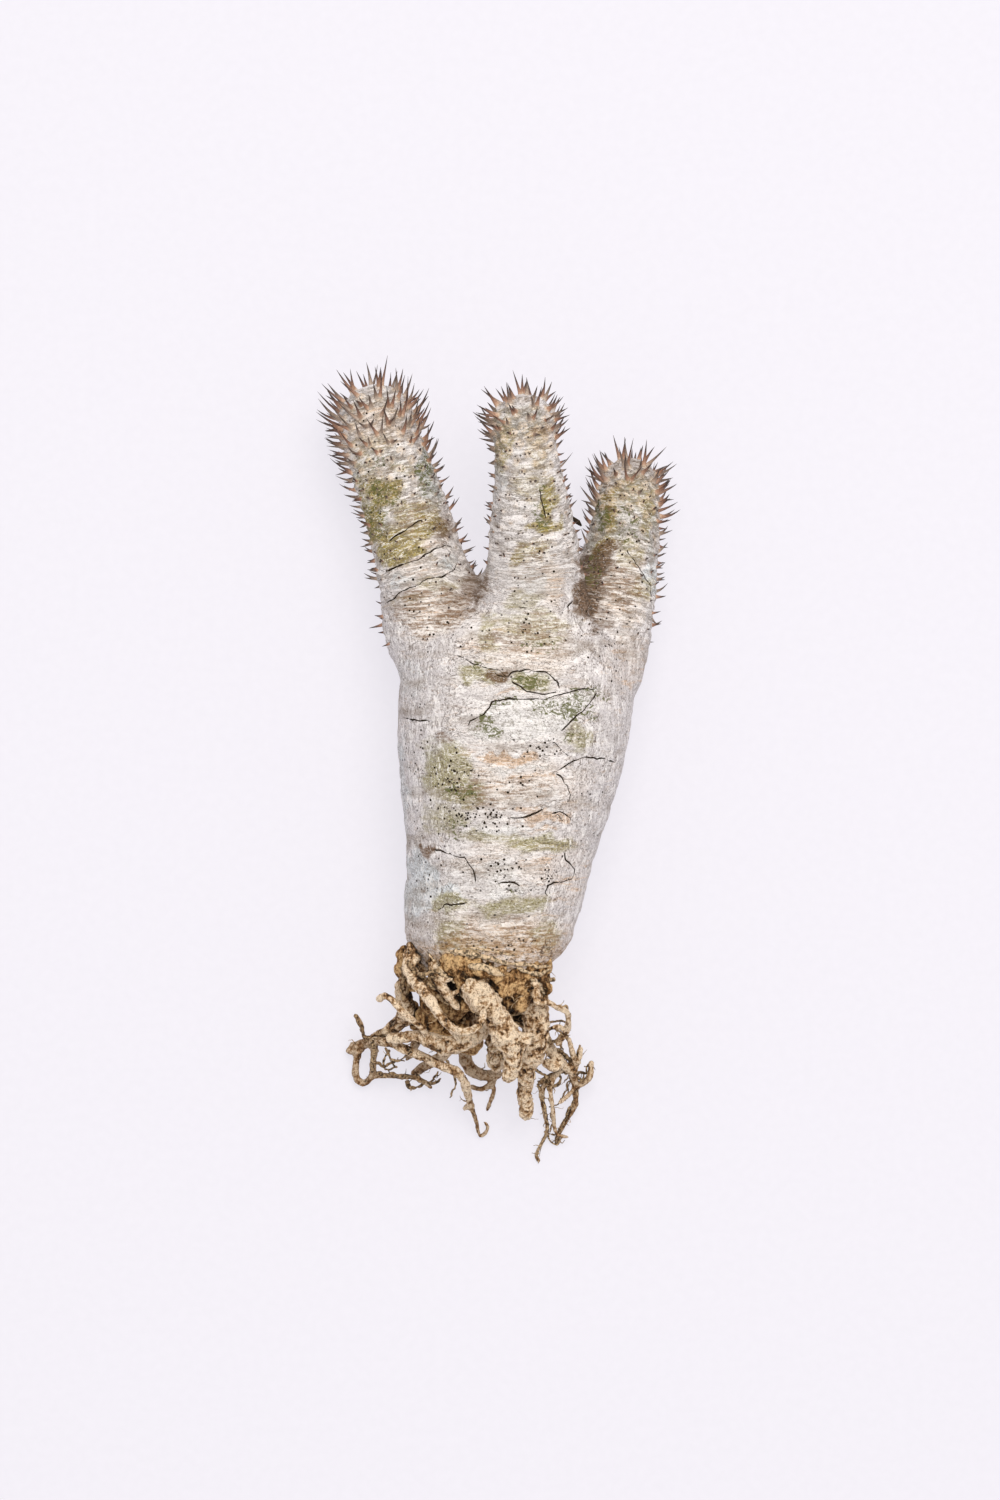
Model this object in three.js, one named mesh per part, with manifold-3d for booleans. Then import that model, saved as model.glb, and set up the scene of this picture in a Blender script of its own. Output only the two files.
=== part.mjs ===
// A bare-root pachypodium lying down: a swollen trunk (the caudex), three spiny branches and the roots.
// Millimetres. It lies on the plane z = 0, its crowns point along +Y and its roots along -Y.
// The routes below are measured from the middle of the trunk's foot, where the roots start, and the whole
// plant is moved at the end so that the origin is the middle of its footprint.
import * as THREE from "three";
import { mergeVertices } from "three/addons/utils/BufferGeometryUtils.js";
import Module from "manifold-3d";

const wasm = await Module();
wasm.setup();

// ---- Driving dimensions ----

const CLEARANCE = 0.3; // gap between two organs that meet face to face

const TRUNK_LENGTH = 117; // foot to the crotch between the branches
const TRUNK_WIDTH = 75.6; // across the belly
const TRUNK_DEPTH = 64.8; // through the belly, from the side it lies on to the side that faces up
const REST_DENT = 0.5; // how far the belly is pressed flat where it lies

// Each branch: its length from its seat inside the trunk, its thickness at the tip, how round its tip is (1 is
// half a ball) and the length of its longest spines.
const BRANCH_SIZES = {
  left: { length: 96.5, thickness: 24, tip: 0.92, spine: 7 },
  middle: { length: 87.5, thickness: 20, tip: 0.8, spine: 6 },
  right: { length: 76, thickness: 19, tip: 0.86, spine: 6.5 },
};

const CROWN_LENGTH = 16; // woody root crown below the trunk's foot
const CROWN_WIDTH = 34;
const CROWN_DEPTH = 30;

const ROOT_GIRTH = 1; // multiplies the thickness of every root
const ROOT_REACH = 1; // multiplies how far every root reaches from the crown

const SPINES_PER_CROWN = 12; // the longest spines at each growing tip; the small ones are surface detail
const SPINE_BASE_RADIUS = 1.1;
const SPINE_SINK = 1.5; // a spine is rooted this deep before its seat is cut
const GOLDEN_ANGLE = THREE.MathUtils.degToRad(137.5);

const AXIS_HEIGHT = TRUNK_DEPTH / 2 - REST_DENT; // the trunk's centre line above the surface

// ---- Resolution ----

const TRUNK_SIDES = 32;
const BRANCH_SIDES = 18;
const THICK_ROOT_SIDES = 8;
const THIN_ROOT_SIDES = 6;
const THIN_ROOT_RADIUS = 1.3; // below this a root has the fewer sides
const SPINE_SIDES = 5;
const CAP_RINGS = 3; // rings in each rounded end
const LIMB_STEPS = 2; // rings from one station to the next
const FINEST_DETAIL = 0.04; // slivers thinner than this are smoothed away where pieces are cut

// ---- Materials ----

const surface = (color, roughness) => new THREE.MeshStandardMaterial({ color, roughness, metalness: 0 });
const bark = surface(0xc9c2b4, 0.85);
const crownWood = surface(0x8a6a44, 0.95);
const rootSkin = surface(0xb79a72, 0.95);
const spineHorn = surface(0x8d6247, 0.6);

// ---- Shapes ----

// A closed limb with round ends and elliptical sections, swept along a smooth line through its stations.
// Each station is {x, y, z, wide, deep}: wide and deep are the section's level and upright radii. It is a sphere
// whose rows of vertices are laid along the line, so it is always closed. The lengths of its two rounded ends
// are shares of the section's radius.
function sweptLimb(stations, sides, stepsBetween, [startLength, endLength] = [1, 1]) {
  const line = new THREE.CatmullRomCurve3(stations.map((s) => new THREE.Vector3(s.x, s.y, s.z)));
  const girth = new THREE.CatmullRomCurve3(stations.map((s) => new THREE.Vector3(s.wide, s.deep, 0)));
  const up = new THREE.Vector3(0, 0, 1);
  const rings = [];
  const addRing = (t, capAngle, length) => {
    const along = line.getTangent(t);
    const across = along.clone().cross(up).normalize();
    const size = girth.getPoint(t);
    rings.push({
      centre: line.getPoint(t).addScaledVector(along, Math.sin(capAngle) * size.x * length),
      across: across.clone().multiplyScalar(size.x * Math.cos(capAngle)),
      upright: across.clone().cross(along).multiplyScalar(size.y * Math.cos(capAngle)),
    });
  };
  const quarter = Math.PI / 2;
  const capAngles = Array.from({ length: CAP_RINGS }, (_, i) => quarter * (1 - i / CAP_RINGS));
  const steps = (stations.length - 1) * stepsBetween;
  capAngles.forEach((angle) => addRing(1, angle, endLength));
  for (let i = steps; i >= 0; i--) addRing(i / steps, 0, 1);
  capAngles.reverse().forEach((angle) => addRing(0, -angle, startLength));

  const shape = new THREE.SphereGeometry(1, sides, rings.length - 1);
  const position = shape.getAttribute("position");
  const vertex = new THREE.Vector3();
  for (let i = 0; i < position.count; i++) {
    const ring = rings[Math.floor(i / (sides + 1))];
    const turn = ((i % (sides + 1)) / sides) * Math.PI * 2;
    vertex.copy(ring.centre).addScaledVector(ring.across, -Math.cos(turn));
    vertex.addScaledVector(ring.upright, Math.sin(turn));
    position.setXYZ(i, vertex.x, vertex.y, vertex.z);
  }
  return solidOf(shape);
}

function solidOf(geometry) {
  geometry.deleteAttribute("normal");
  geometry.deleteAttribute("uv");
  const merged = mergeVertices(geometry, 1e-3);
  const { array } = merged.getAttribute("position");
  return new wasm.Manifold(
    new wasm.Mesh({ numProp: 3, vertProperties: array, triVerts: new Uint32Array(merged.index.array) }),
  );
}

function meshOf(name, solid, material) {
  const { numProp, numVert, vertProperties, triVerts } = solid.getMesh();
  const position = new Float32Array(numVert * 3);
  for (let i = 0; i < numVert; i++) position.set(vertProperties.subarray(i * numProp, i * numProp + 3), i * 3);
  const geometry = new THREE.BufferGeometry()
    .setAttribute("position", new THREE.BufferAttribute(position, 3))
    .setIndex(new THREE.BufferAttribute(triVerts, 1));
  geometry.computeVertexNormals();
  const mesh = new THREE.Mesh(geometry, material);
  mesh.name = name;
  return mesh;
}

// The same stations with every section and both ends grown by a margin, to cut a neighbour's seat.
function grown(stations, margin) {
  return stations.map((s) => ({ ...s, wide: s.wide + margin, deep: s.deep + margin }));
}

// ---- The plant, put together piece by piece: each new piece is cut back from those already there ----

const plant = new THREE.Group();
let occupied = null; // every piece so far, grown by the clearance

function largestPiece(solid) {
  const pieces = solid.decompose();
  return pieces.reduce((best, piece) => (piece.volume() > best.volume() ? piece : best), pieces[0]);
}

function addPiece(name, solid, grownSolid, material) {
  const above = solid.trimByPlane([0, 0, 1], 0); // nothing is below the surface that the plant lies on
  const seated = largestPiece(occupied ? above.subtract(occupied) : above).simplify(FINEST_DETAIL);
  plant.add(meshOf(name, seated, material));
  occupied = occupied ? occupied.add(grownSolid) : grownSolid;
}

function addLimb(name, stations, sides, material, ends) {
  const solid = sweptLimb(stations, sides, LIMB_STEPS, ends);
  addPiece(name, solid, sweptLimb(grown(stations, CLEARANCE), sides, LIMB_STEPS, ends), material);
}

// ---- Trunk ----

// Along, across, half width, half depth and sag, as shares of the trunk's length, width and depth. The sag
// lowers the centre of a section, so the belly lies along the surface from 0.45 to 0.86 of the length.
const TRUNK_SHAPE = [
  [-0.02, -0.036, 0.225, 0.23, 0],
  [0.02, -0.04, 0.29, 0.29, 0],
  [0.07, -0.044, 0.345, 0.345, 0.01],
  [0.14, -0.044, 0.362, 0.38, 0.02],
  [0.22, -0.02, 0.372, 0.41, 0.028],
  [0.33, -0.002, 0.4, 0.45, 0.03],
  [0.45, 0.024, 0.44, 0.478, 0.018],
  [0.57, 0.046, 0.472, 0.492, 0.008],
  [0.68, 0.06, 0.49, 0.5, 0],
  [0.78, 0.074, 0.492, 0.494, 0.006],
  [0.86, 0.083, 0.462, 0.475, 0.02],
  [0.93, 0.09, 0.38, 0.4, 0.03],
  [0.98, 0.095, 0.24, 0.25, 0.03],
];
const trunkStations = TRUNK_SHAPE.map(([along, across, halfWidth, halfDepth, sag]) => ({
  x: across * TRUNK_WIDTH,
  y: along * TRUNK_LENGTH,
  z: AXIS_HEIGHT - sag * TRUNK_DEPTH,
  wide: halfWidth * TRUNK_WIDTH,
  deep: halfDepth * TRUNK_DEPTH,
}));
addLimb("caudex", trunkStations, TRUNK_SIDES, bark, [0.25, 0.25]);

// ---- Branches ----

// seat: where the branch's line starts inside the trunk, as shares of the trunk's width and length.
// route: stations from the seat. Across, along and up are shares of the branch's length, and the half width and
// half depth are shares of its thickness at the tip.
const BRANCHES = {
  left: {
    seat: [-0.13, 0.68],
    route: [
      [0, 0, 0, 0.583, 0.583],
      [-0.048, 0.15, 0, 0.708, 0.729],
      [-0.099, 0.295, 0, 0.725, 0.725],
      [-0.155, 0.492, -0.005, 0.633, 0.642],
      [-0.213, 0.694, -0.01, 0.579, 0.579],
      [-0.276, 0.876, -0.016, 0.525, 0.525],
      [-0.317, 1, -0.021, 0.496, 0.496],
    ],
  },
  middle: {
    seat: [0.1, 0.74],
    route: [
      [0, 0, 0.046, 1.2, 1.1],
      [0.018, 0.16, 0.074, 1.175, 1],
      [0.032, 0.343, 0.109, 0.94, 0.85],
      [0.041, 0.497, 0.149, 0.77, 0.75],
      [0.032, 0.657, 0.2, 0.67, 0.66],
      [0.018, 0.794, 0.246, 0.56, 0.56],
      [0.003, 0.931, 0.28, 0.51, 0.51],
      [-0.003, 1, 0.291, 0.49, 0.49],
    ],
  },
  right: {
    seat: [0.26, 0.68],
    route: [
      [0, 0, -0.026, 0.789, 0.789],
      [0.113, 0.224, -0.053, 0.958, 0.895],
      [0.179, 0.401, -0.066, 0.853, 0.821],
      [0.232, 0.586, -0.086, 0.737, 0.716],
      [0.261, 0.73, -0.105, 0.663, 0.653],
      [0.282, 0.849, -0.125, 0.574, 0.574],
      [0.295, 0.947, -0.138, 0.516, 0.516],
      [0.3, 1, -0.145, 0.495, 0.495],
    ],
  },
};

for (const [side, branch] of Object.entries(BRANCHES)) {
  const { length, thickness } = BRANCH_SIZES[side];
  const [acrossTrunk, alongTrunk] = branch.seat;
  branch.stations = branch.route.map(([across, along, up, halfWidth, halfDepth]) => ({
    x: acrossTrunk * TRUNK_WIDTH + across * length,
    y: alongTrunk * TRUNK_LENGTH + along * length,
    z: AXIS_HEIGHT + up * length,
    wide: halfWidth * thickness,
    deep: halfDepth * thickness,
  }));
}
// The middle branch lies over the other two, so it is seated before them.
for (const side of ["middle", "left", "right"]) {
  addLimb(`branch_${side}`, BRANCHES[side].stations, BRANCH_SIDES, bark, [1, BRANCH_SIZES[side].tip]);
}

// ---- Root crown ----

// Along, half width and half depth, as shares of the crown's length, width and depth.
const CROWN_SHAPE = [
  [0.4, 0.5, 0.5],
  [0, 0.5, 0.5],
  [-0.36, 0.45, 0.45],
  [-0.6, 0.34, 0.34],
];
const CROWN_OFFSET = -2; // across, from the middle of the foot
const crownStations = CROWN_SHAPE.map(([along, halfWidth, halfDepth]) => ({
  x: CROWN_OFFSET,
  y: along * CROWN_LENGTH,
  z: AXIS_HEIGHT,
  wide: halfWidth * CROWN_WIDTH,
  deep: halfDepth * CROWN_DEPTH,
}));
addLimb("root_crown", crownStations, BRANCH_SIDES, crownWood, [0.4, 0.4]);

// ---- Roots ----

// Each route is a list of [across, along, lift, radius] on the way out from the root's seat. Lift is the height of
// the root's centre as a share of the trunk's axis height, so a root with no lift lies on the surface.
// The seat is inside the root crown or the trunk, as shares of that organ's width, length and depth. A root with
// no seat springs from the side of an earlier root. Station 0 is the seat, or the first of a route that has none.
// A side root in branches starts on the route's own station "from", or on a station of an earlier side root
// named by "of", and is one piece with its root.
const ROOTS = {
  front_taproot: {
    seat: { organ: "crown", across: -0.21, along: 0.12, up: 0.21, radius: 6.2 },
    route: [
      [-8.2, -4, 1.38, 5.5], [-5.6, -10.3, 1.44, 4.7], [-0.7, -17.4, 1.44, 4.2],
      [3.2, -24, 1.4, 4.2], [4.2, -29, 1.34, 3.4], [2.8, -34.4, 1.26, 2.6],
    ],
    branches: [{ from: 4, route: [[6.4, -23.6, 1.37, 2.6], [8.4, -22.6, 1.34, 1.8]] }],
  },
  right_taproot: {
    seat: { organ: "crown", across: 0.21, along: 0.12, up: 0, radius: 7 },
    route: [
      [7, -5, 1.06, 7], [9.4, -10, 1.06, 6.1], [11.2, -15, 1.04, 4.6], [12.1, -22.3, 1, 3.9],
      [10.9, -28.5, 0.88, 3.4], [8.6, -34.6, 0.75, 3], [7.9, -42, 0.6, 2.6], [8.5, -48.2, 0.48, 2.3],
    ],
  },
  left_loop: {
    seat: { organ: "trunk", across: -0.28, along: 0.085, up: 0.025, radius: 3.6 },
    route: [
      [-26.6, 5.5, 1.12, 3.8], [-28.4, 0.5, 1.22, 3], [-27.3, -4.2, 1.35, 2.3],
      [-23.8, -8.6, 1.45, 1.8], [-20.3, -13.6, 1.52, 1.5], [-17, -17.9, 1.58, 1.4], [-12.9, -20.4, 1.64, 1.3],
      [-8.8, -20.1, 1.67, 1.3], [-5.9, -17.6, 1.67, 1.2], [-5.3, -14.6, 1.64, 1.1],
    ],
    branches: [{ from: 6, route: [[-15, -20.8, 1.55, 0.9], [-12.9, -23.4, 1.5, 0.6]] }],
  },
  left_stub: {
    seat: { organ: "trunk", across: -0.225, along: 0.07, up: 0.05, radius: 3.4 },
    route: [
      [-20.6, 1.5, 1.28, 2.8], [-19.6, -4, 1.36, 2.3], [-16.6, -9, 1.36, 1.7], [-13.6, -13, 1.32, 1.1],
    ],
    branches: [
      { from: 2, route: [[-17.4, -4.6, 1.44, 0.9], [-15.4, -4, 1.48, 0.6]] },
      { from: 3, route: [[-14, -8.4, 1.42, 0.8], [-12.4, -7, 1.44, 0.6]] },
    ],
  },
  left_anchor: {
    seat: { organ: "trunk", across: -0.21, along: 0.043, up: -0.025, radius: 4 },
    route: [
      [-24.5, 1, 0.93, 3.6], [-30, -5, 0.85, 2.9], [-31, -11.3, 0.72, 2.8],
      [-30, -16.5, 0.6, 3.1], [-34, -20.8, 0.48, 2.6], [-39, -24, 0.36, 2.1], [-43.5, -26.4, 0.24, 2],
      [-48.2, -29, 0.1, 1.9],
    ],
    branches: [
      {
        from: 7,
        route: [
          [-45.9, -30, 0.18, 1.3], [-46.9, -34.5, 0.12, 1.25], [-46.4, -38.4, 0.1, 1.3],
          [-44.4, -40, 0.1, 1.3], [-41.9, -37.6, 0.14, 1.2], [-41.1, -32.7, 0.22, 1.25],
          [-40.6, -26.4, 0.32, 1.3],
        ],
      },
      { from: 7, route: [[-44.4, -23.6, 0.3, 0.75], [-44.7, -20.5, 0.36, 0.7], [-46.3, -17.4, 0.42, 0.6]] },
      {
        of: 0,
        from: 5,
        route: [
          [-37.4, -37, 0.2, 0.95], [-32, -37.5, 0.25, 0.9], [-27.6, -37.6, 0.28, 0.9],
          [-24.6, -38.9, 0.25, 0.85], [-22.4, -41, 0.2, 0.7],
        ],
      },
    ],
  },
  left_diagonal: {
    route: [
      [-43.6, -26.2, 0.3, 1.3], [-38.8, -25.4, 0.5, 1.5], [-33.1, -26.6, 0.66, 1.5], [-25.8, -29.7, 0.76, 1.5],
      [-18.4, -33, 0.78, 1.6], [-12.9, -35.8, 0.72, 1.55], [-10.9, -40.1, 0.58, 1.4], [-9.6, -46, 0.36, 1.15],
      [-8.6, -48.9, 0.27, 0.85], [-7.4, -53, 0.16, 0.7], [-6.6, -57.2, 0.06, 0.65], [-4.6, -56, 0.05, 0.6],
      [-3.9, -54, 0.06, 0.6], [-4.9, -52.6, 0.1, 0.55],
    ],
    branches: [{ from: 7, route: [[-11.2, -47.4, 0.32, 0.8]] }],
  },
  cross_root: {
    seat: { organ: "crown", across: -0.09, along: 0, up: -0.05, radius: 4.2 },
    route: [
      [-5.5, -8, 0.97, 3.6], [-4.6, -15, 0.98, 3], [-6.3, -21.4, 0.98, 2.6],
      [-11.6, -24.9, 0.98, 2.7], [-18.2, -26.2, 0.98, 2.9], [-22.6, -24.6, 0.98, 2.6], [-26.5, -23, 0.94, 2],
      [-31, -23.6, 0.86, 1.8], [-35, -24, 0.78, 1.5],
    ],
    branches: [
      {
        from: 6,
        route: [
          [-24.6, -20.6, 1.1, 1.1], [-27.4, -17.9, 1.15, 1.15], [-31.3, -14.8, 1.16, 1.2],
          [-34.3, -11.3, 1.16, 1.2], [-36.8, -9.8, 1.12, 1.2], [-38.6, -11, 1.05, 1.15],
        ],
      },
    ],
  },
  back_left: {
    seat: { organ: "crown", across: -0.26, along: 0.06, up: -0.27, radius: 4 },
    route: [
      [-15, -8, 0.68, 3.2], [-17, -17, 0.6, 2.6], [-16.2, -26, 0.5, 2.2],
      [-20, -31.4, 0.36, 1.8], [-24.8, -34.4, 0.2, 1.5], [-28, -36.6, 0.05, 1.2],
    ],
  },
  back_middle: {
    seat: { organ: "crown", across: 0.03, along: 0.06, up: -0.21, radius: 4.2 },
    route: [
      [-2, -9, 0.74, 3.5], [-2.4, -17, 0.74, 3.2], [-2, -24, 0.78, 3],
      [-1.4, -29.5, 0.76, 2.7], [-1.1, -33, 0.7, 2.2],
    ],
  },
  surface_middle: {
    seat: { organ: "crown", across: -0.09, along: 0, up: -0.4, radius: 3.8 },
    route: [
      [-7, -10, 0.42, 3.2], [-9.5, -20, 0.28, 2.6], [-11.6, -29, 0.18, 2.1],
      [-9.6, -35.2, 0.1, 2], [-5.4, -37.2, 0.08, 1.9], [-1, -36.8, 0.08, 1.6],
    ],
    branches: [
      { from: 6, route: [[-2.4, -39.4, 0.1, 1], [-6, -41.8, 0.1, 0.95], [-9.2, -40.9, 0.1, 0.85]] },
      { of: 0, from: 1, route: [[-1.8, -42, 0.08, 0.8], [-2.8, -45, 0.06, 0.75], [-4, -48.5, 0.04, 0.65]] },
    ],
  },
  right_arch: {
    seat: { organ: "crown", across: 0.29, along: 0, up: 0.21, radius: 2.4 },
    route: [
      [11.4, -7.5, 1.34, 1.6], [12, -11.6, 1.4, 1.2], [15, -11.4, 1.33, 1],
      [18.4, -13.6, 1.22, 0.9], [21.2, -14.8, 1.14, 0.85], [22, -18, 1.02, 0.9], [21.4, -22, 0.9, 0.95],
      [18.8, -25.8, 0.78, 1],
    ],
    branches: [{ from: 7, route: [[18.9, -20, 0.95, 0.85], [16.8, -20.4, 1, 0.8]] }],
  },
  right_runner: {
    seat: { organ: "crown", across: 0.32, along: 0, up: -0.36, radius: 3.8 },
    route: [
      [12.5, -8, 0.52, 3], [13, -17, 0.46, 2.4], [14, -24, 0.48, 2],
      [17.2, -29.4, 0.5, 1.7], [21, -33.2, 0.46, 1.5], [23.8, -36.6, 0.36, 1.4], [24.5, -41, 0.26, 1.2],
      [24.6, -46.8, 0.16, 1], [22, -51.2, 0.1, 0.95], [19.6, -55.4, 0.05, 0.85], [18.4, -59.2, 0.02, 0.7],
    ],
    branches: [
      { from: 4, route: [[19.6, -32.4, 0.52, 1.7], [17.4, -33.2, 0.56, 2.1], [15.4, -32.6, 0.56, 1.6]] },
      { from: 6, route: [[24.6, -33.5, 0.42, 1.1], [23.6, -29.6, 0.46, 0.95], [22.4, -24.8, 0.5, 0.75]] },
      { of: 1, from: 1, route: [[25.8, -31, 0.5, 0.8], [26.4, -27.8, 0.54, 0.65]] },
      { from: 7, route: [[27, -39.6, 0.3, 1], [29.2, -37, 0.34, 1.2], [29.6, -32.8, 0.36, 1]] },
      { from: 7, route: [[22, -43.4, 0.32, 0.8], [19.4, -45.6, 0.36, 0.65]] },
    ],
  },
  right_trailing: {
    route: [
      [20.6, -34.4, 0.42, 1], [17.6, -36.8, 0.38, 1], [14.6, -39.6, 0.34, 0.95], [13.6, -43, 0.28, 0.9],
      [14.2, -47.4, 0.2, 0.85], [15.2, -52, 0.12, 0.8], [15.4, -55.4, 0.08, 0.75], [14.4, -58, 0.06, 0.7],
      [12.9, -60.9, 0.04, 0.65], [11.8, -63.4, 0.03, 0.65], [12.6, -65, 0.02, 0.75],
    ],
    branches: [
      {
        from: 1,
        route: [
          [16.4, -42, 0.38, 0.85], [17.2, -47.4, 0.32, 0.8], [17.6, -52.4, 0.24, 0.75], [18.6, -56.4, 0.17, 0.7],
          [21.6, -57.2, 0.15, 0.6],
        ],
      },
    ],
  },
  under_left: {
    seat: { organ: "crown", across: -0.26, along: 0, up: -0.4, radius: 4 },
    route: [
      [-17, -9, 0.36, 3], [-22, -17, 0.16, 2.2], [-27, -26, 0.05, 1.6], [-29.6, -31, 0.04, 1.2],
    ],
  },
  under_middle: {
    seat: { organ: "crown", across: 0.09, along: 0, up: -0.42, radius: 4 },
    route: [[3, -9, 0.36, 3.2], [2.4, -18, 0.14, 2.4], [3.6, -27, 0.06, 1.7], [2.6, -32, 0.04, 1.3]],
  },
  under_right: {
    seat: { organ: "crown", across: 0.29, along: 0.06, up: -0.42, radius: 3.4 },
    route: [[10, -8, 0.3, 2.6], [9, -18, 0.12, 2], [9.6, -27, 0.05, 1.5], [12, -32, 0.03, 1.2]],
  },
};

const ROOT_SEATS = {
  crown: { x: CROWN_OFFSET, width: CROWN_WIDTH, length: CROWN_LENGTH, depth: CROWN_DEPTH },
  trunk: { x: 0, width: TRUNK_WIDTH, length: TRUNK_LENGTH, depth: TRUNK_DEPTH },
};

function seatStation({ organ, across, along, up, radius }) {
  const { x, width, length, depth } = ROOT_SEATS[organ];
  return {
    x: x + across * width,
    y: along * length,
    z: AXIS_HEIGHT + up * depth,
    wide: radius * ROOT_GIRTH,
    deep: radius * ROOT_GIRTH,
  };
}

const rootStation = ([across, along, lift, radius]) => {
  const thickness = radius * ROOT_GIRTH;
  return {
    x: across * ROOT_REACH,
    y: along * ROOT_REACH,
    z: Math.max(lift * AXIS_HEIGHT, thickness),
    wide: thickness,
    deep: thickness,
  };
};

// A root with its side roots as one solid. The margin grows it, to cut the seats of the roots after it.
function rootSolid({ seat, route, branches = [] }, margin) {
  const main = [...(seat ? [seatStation(seat)] : []), ...route.map(rootStation)];
  const lines = [main];
  const sideLines = [];
  for (const { of, from, route: sideRoute } of branches) {
    const parent = of === undefined ? main : sideLines[of];
    const side = sideRoute.map(rootStation);
    const start = { ...parent[from], wide: side[0].wide, deep: side[0].deep };
    sideLines.push([start, ...side]);
    lines.push([start, ...side]);
  }
  return lines
    .map((stations) => {
      const thick = Math.max(...stations.map((s) => s.wide)) > THIN_ROOT_RADIUS * ROOT_GIRTH;
      return sweptLimb(grown(stations, margin), thick ? THICK_ROOT_SIDES : THIN_ROOT_SIDES, 2);
    })
    .reduce((whole, line) => whole.add(line));
}

for (const [name, root] of Object.entries(ROOTS)) {
  addPiece(`root_${name}`, rootSolid(root, 0), rootSolid(root, CLEARANCE), rootSkin);
}

// ---- Spines ----

// The longest spines stand round each growing tip in a spiral, upright at the top and level lower down.
const SPIRAL_TOP = THREE.MathUtils.degToRad(78); // latitude of the first spine on the rounded tip
const SPIRAL_DOME = 0.75; // share of the spines on the rounded tip; the rest stand on the shaft below it
const SPIRAL_SHAFT = 5; // how far below the rounded tip the last spine stands
const SPINE_LEAN = 0.1; // how far a spine leans towards the tip

function addCrownSpines(side, { stations }) {
  const { tip, spine } = BRANCH_SIZES[side];
  const line = new THREE.CatmullRomCurve3(stations.map((s) => new THREE.Vector3(s.x, s.y, s.z)));
  const end = stations.at(-1);
  const along = line.getTangent(1);
  const across = along.clone().cross(new THREE.Vector3(0, 0, 1)).normalize();
  const upright = across.clone().cross(along);
  for (let i = 0; i < SPINES_PER_CROWN; i++) {
    const share = i / (SPINES_PER_CROWN - 1);
    const latitude = SPIRAL_TOP * (1 - Math.min(1, share / SPIRAL_DOME));
    const drop = (SPIRAL_SHAFT * Math.max(0, share - SPIRAL_DOME)) / (1 - SPIRAL_DOME);
    const turn = i * GOLDEN_ANGLE;
    const outward = across.clone().multiplyScalar(Math.cos(turn)).addScaledVector(upright, Math.sin(turn));
    const foot = new THREE.Vector3(end.x, end.y, end.z)
      .addScaledVector(along, end.wide * tip * Math.sin(latitude) - drop)
      .addScaledVector(outward, end.wide * Math.cos(latitude));
    const direction = outward
      .clone()
      .multiplyScalar(Math.cos(latitude))
      .addScaledVector(along, Math.sin(latitude) + SPINE_LEAN)
      .normalize();
    const length = spine + SPINE_SINK;
    const cone = new THREE.ConeGeometry(SPINE_BASE_RADIUS, length, SPINE_SIDES);
    cone.applyQuaternion(new THREE.Quaternion().setFromUnitVectors(new THREE.Vector3(0, 1, 0), direction));
    const middle = foot.addScaledVector(direction, length / 2 - SPINE_SINK);
    cone.translate(middle.x, middle.y, middle.z);
    const solid = solidOf(cone);
    addPiece(`spine_${side}_${String(i + 1).padStart(2, "0")}`, solid, solid, spineHorn);
  }
}

for (const [side, branch] of Object.entries(BRANCHES)) addCrownSpines(side, branch);

// ---- The origin: the middle of the footprint, on the surface ----

const box = new THREE.Box3().setFromObject(plant);
const middle = box.getCenter(new THREE.Vector3());
plant.position.set(-middle.x, -middle.y, -box.min.z);

const part = new THREE.Group();
part.add(plant);

export default part;
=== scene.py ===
"""A bare-root pachypodium lying on a pale table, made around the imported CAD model. Metres, +Z up."""

import itertools
import math

import bmesh
import bpy
import numpy as np
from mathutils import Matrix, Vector
from mathutils.bvhtree import BVHTree


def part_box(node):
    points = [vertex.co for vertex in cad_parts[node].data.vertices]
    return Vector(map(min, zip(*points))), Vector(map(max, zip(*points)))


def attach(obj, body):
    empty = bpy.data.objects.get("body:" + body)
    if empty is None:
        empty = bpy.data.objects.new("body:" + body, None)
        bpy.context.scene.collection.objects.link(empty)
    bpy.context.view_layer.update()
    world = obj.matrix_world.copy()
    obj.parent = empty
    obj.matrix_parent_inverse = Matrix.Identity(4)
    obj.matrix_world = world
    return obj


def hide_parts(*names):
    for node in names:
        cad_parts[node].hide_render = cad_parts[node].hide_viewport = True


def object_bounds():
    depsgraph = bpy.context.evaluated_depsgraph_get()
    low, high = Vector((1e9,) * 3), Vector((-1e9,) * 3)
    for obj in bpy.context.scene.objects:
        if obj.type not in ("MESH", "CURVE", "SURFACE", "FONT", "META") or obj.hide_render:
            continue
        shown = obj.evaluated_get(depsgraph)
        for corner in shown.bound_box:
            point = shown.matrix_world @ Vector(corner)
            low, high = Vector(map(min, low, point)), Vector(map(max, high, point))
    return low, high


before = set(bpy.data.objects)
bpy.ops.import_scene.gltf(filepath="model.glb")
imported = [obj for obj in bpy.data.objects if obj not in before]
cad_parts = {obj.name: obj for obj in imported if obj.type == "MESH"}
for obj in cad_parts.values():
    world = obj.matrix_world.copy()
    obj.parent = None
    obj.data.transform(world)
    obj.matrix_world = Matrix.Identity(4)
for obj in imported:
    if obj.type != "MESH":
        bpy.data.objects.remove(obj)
cad_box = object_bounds()

MM = 0.001
FULL_TURN = 2 * math.pi
UP = np.array((0.0, 0.0, 1.0))
BARK_NODES = ("caudex", "branch_left", "branch_middle", "branch_right")
ROOT_NODES = sorted(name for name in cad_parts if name.startswith("root_") and name != "root_crown")


# ---- Small tools ----

def linear(hex_colour):
    """An sRGB hex colour as the linear RGBA that Blender's sockets take."""
    channels = [int(hex_colour[i : i + 2], 16) / 255 for i in (0, 2, 4)]
    return tuple(c / 12.92 if c <= 0.04045 else ((c + 0.055) / 1.055) ** 2.4 for c in channels) + (1.0,)


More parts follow.
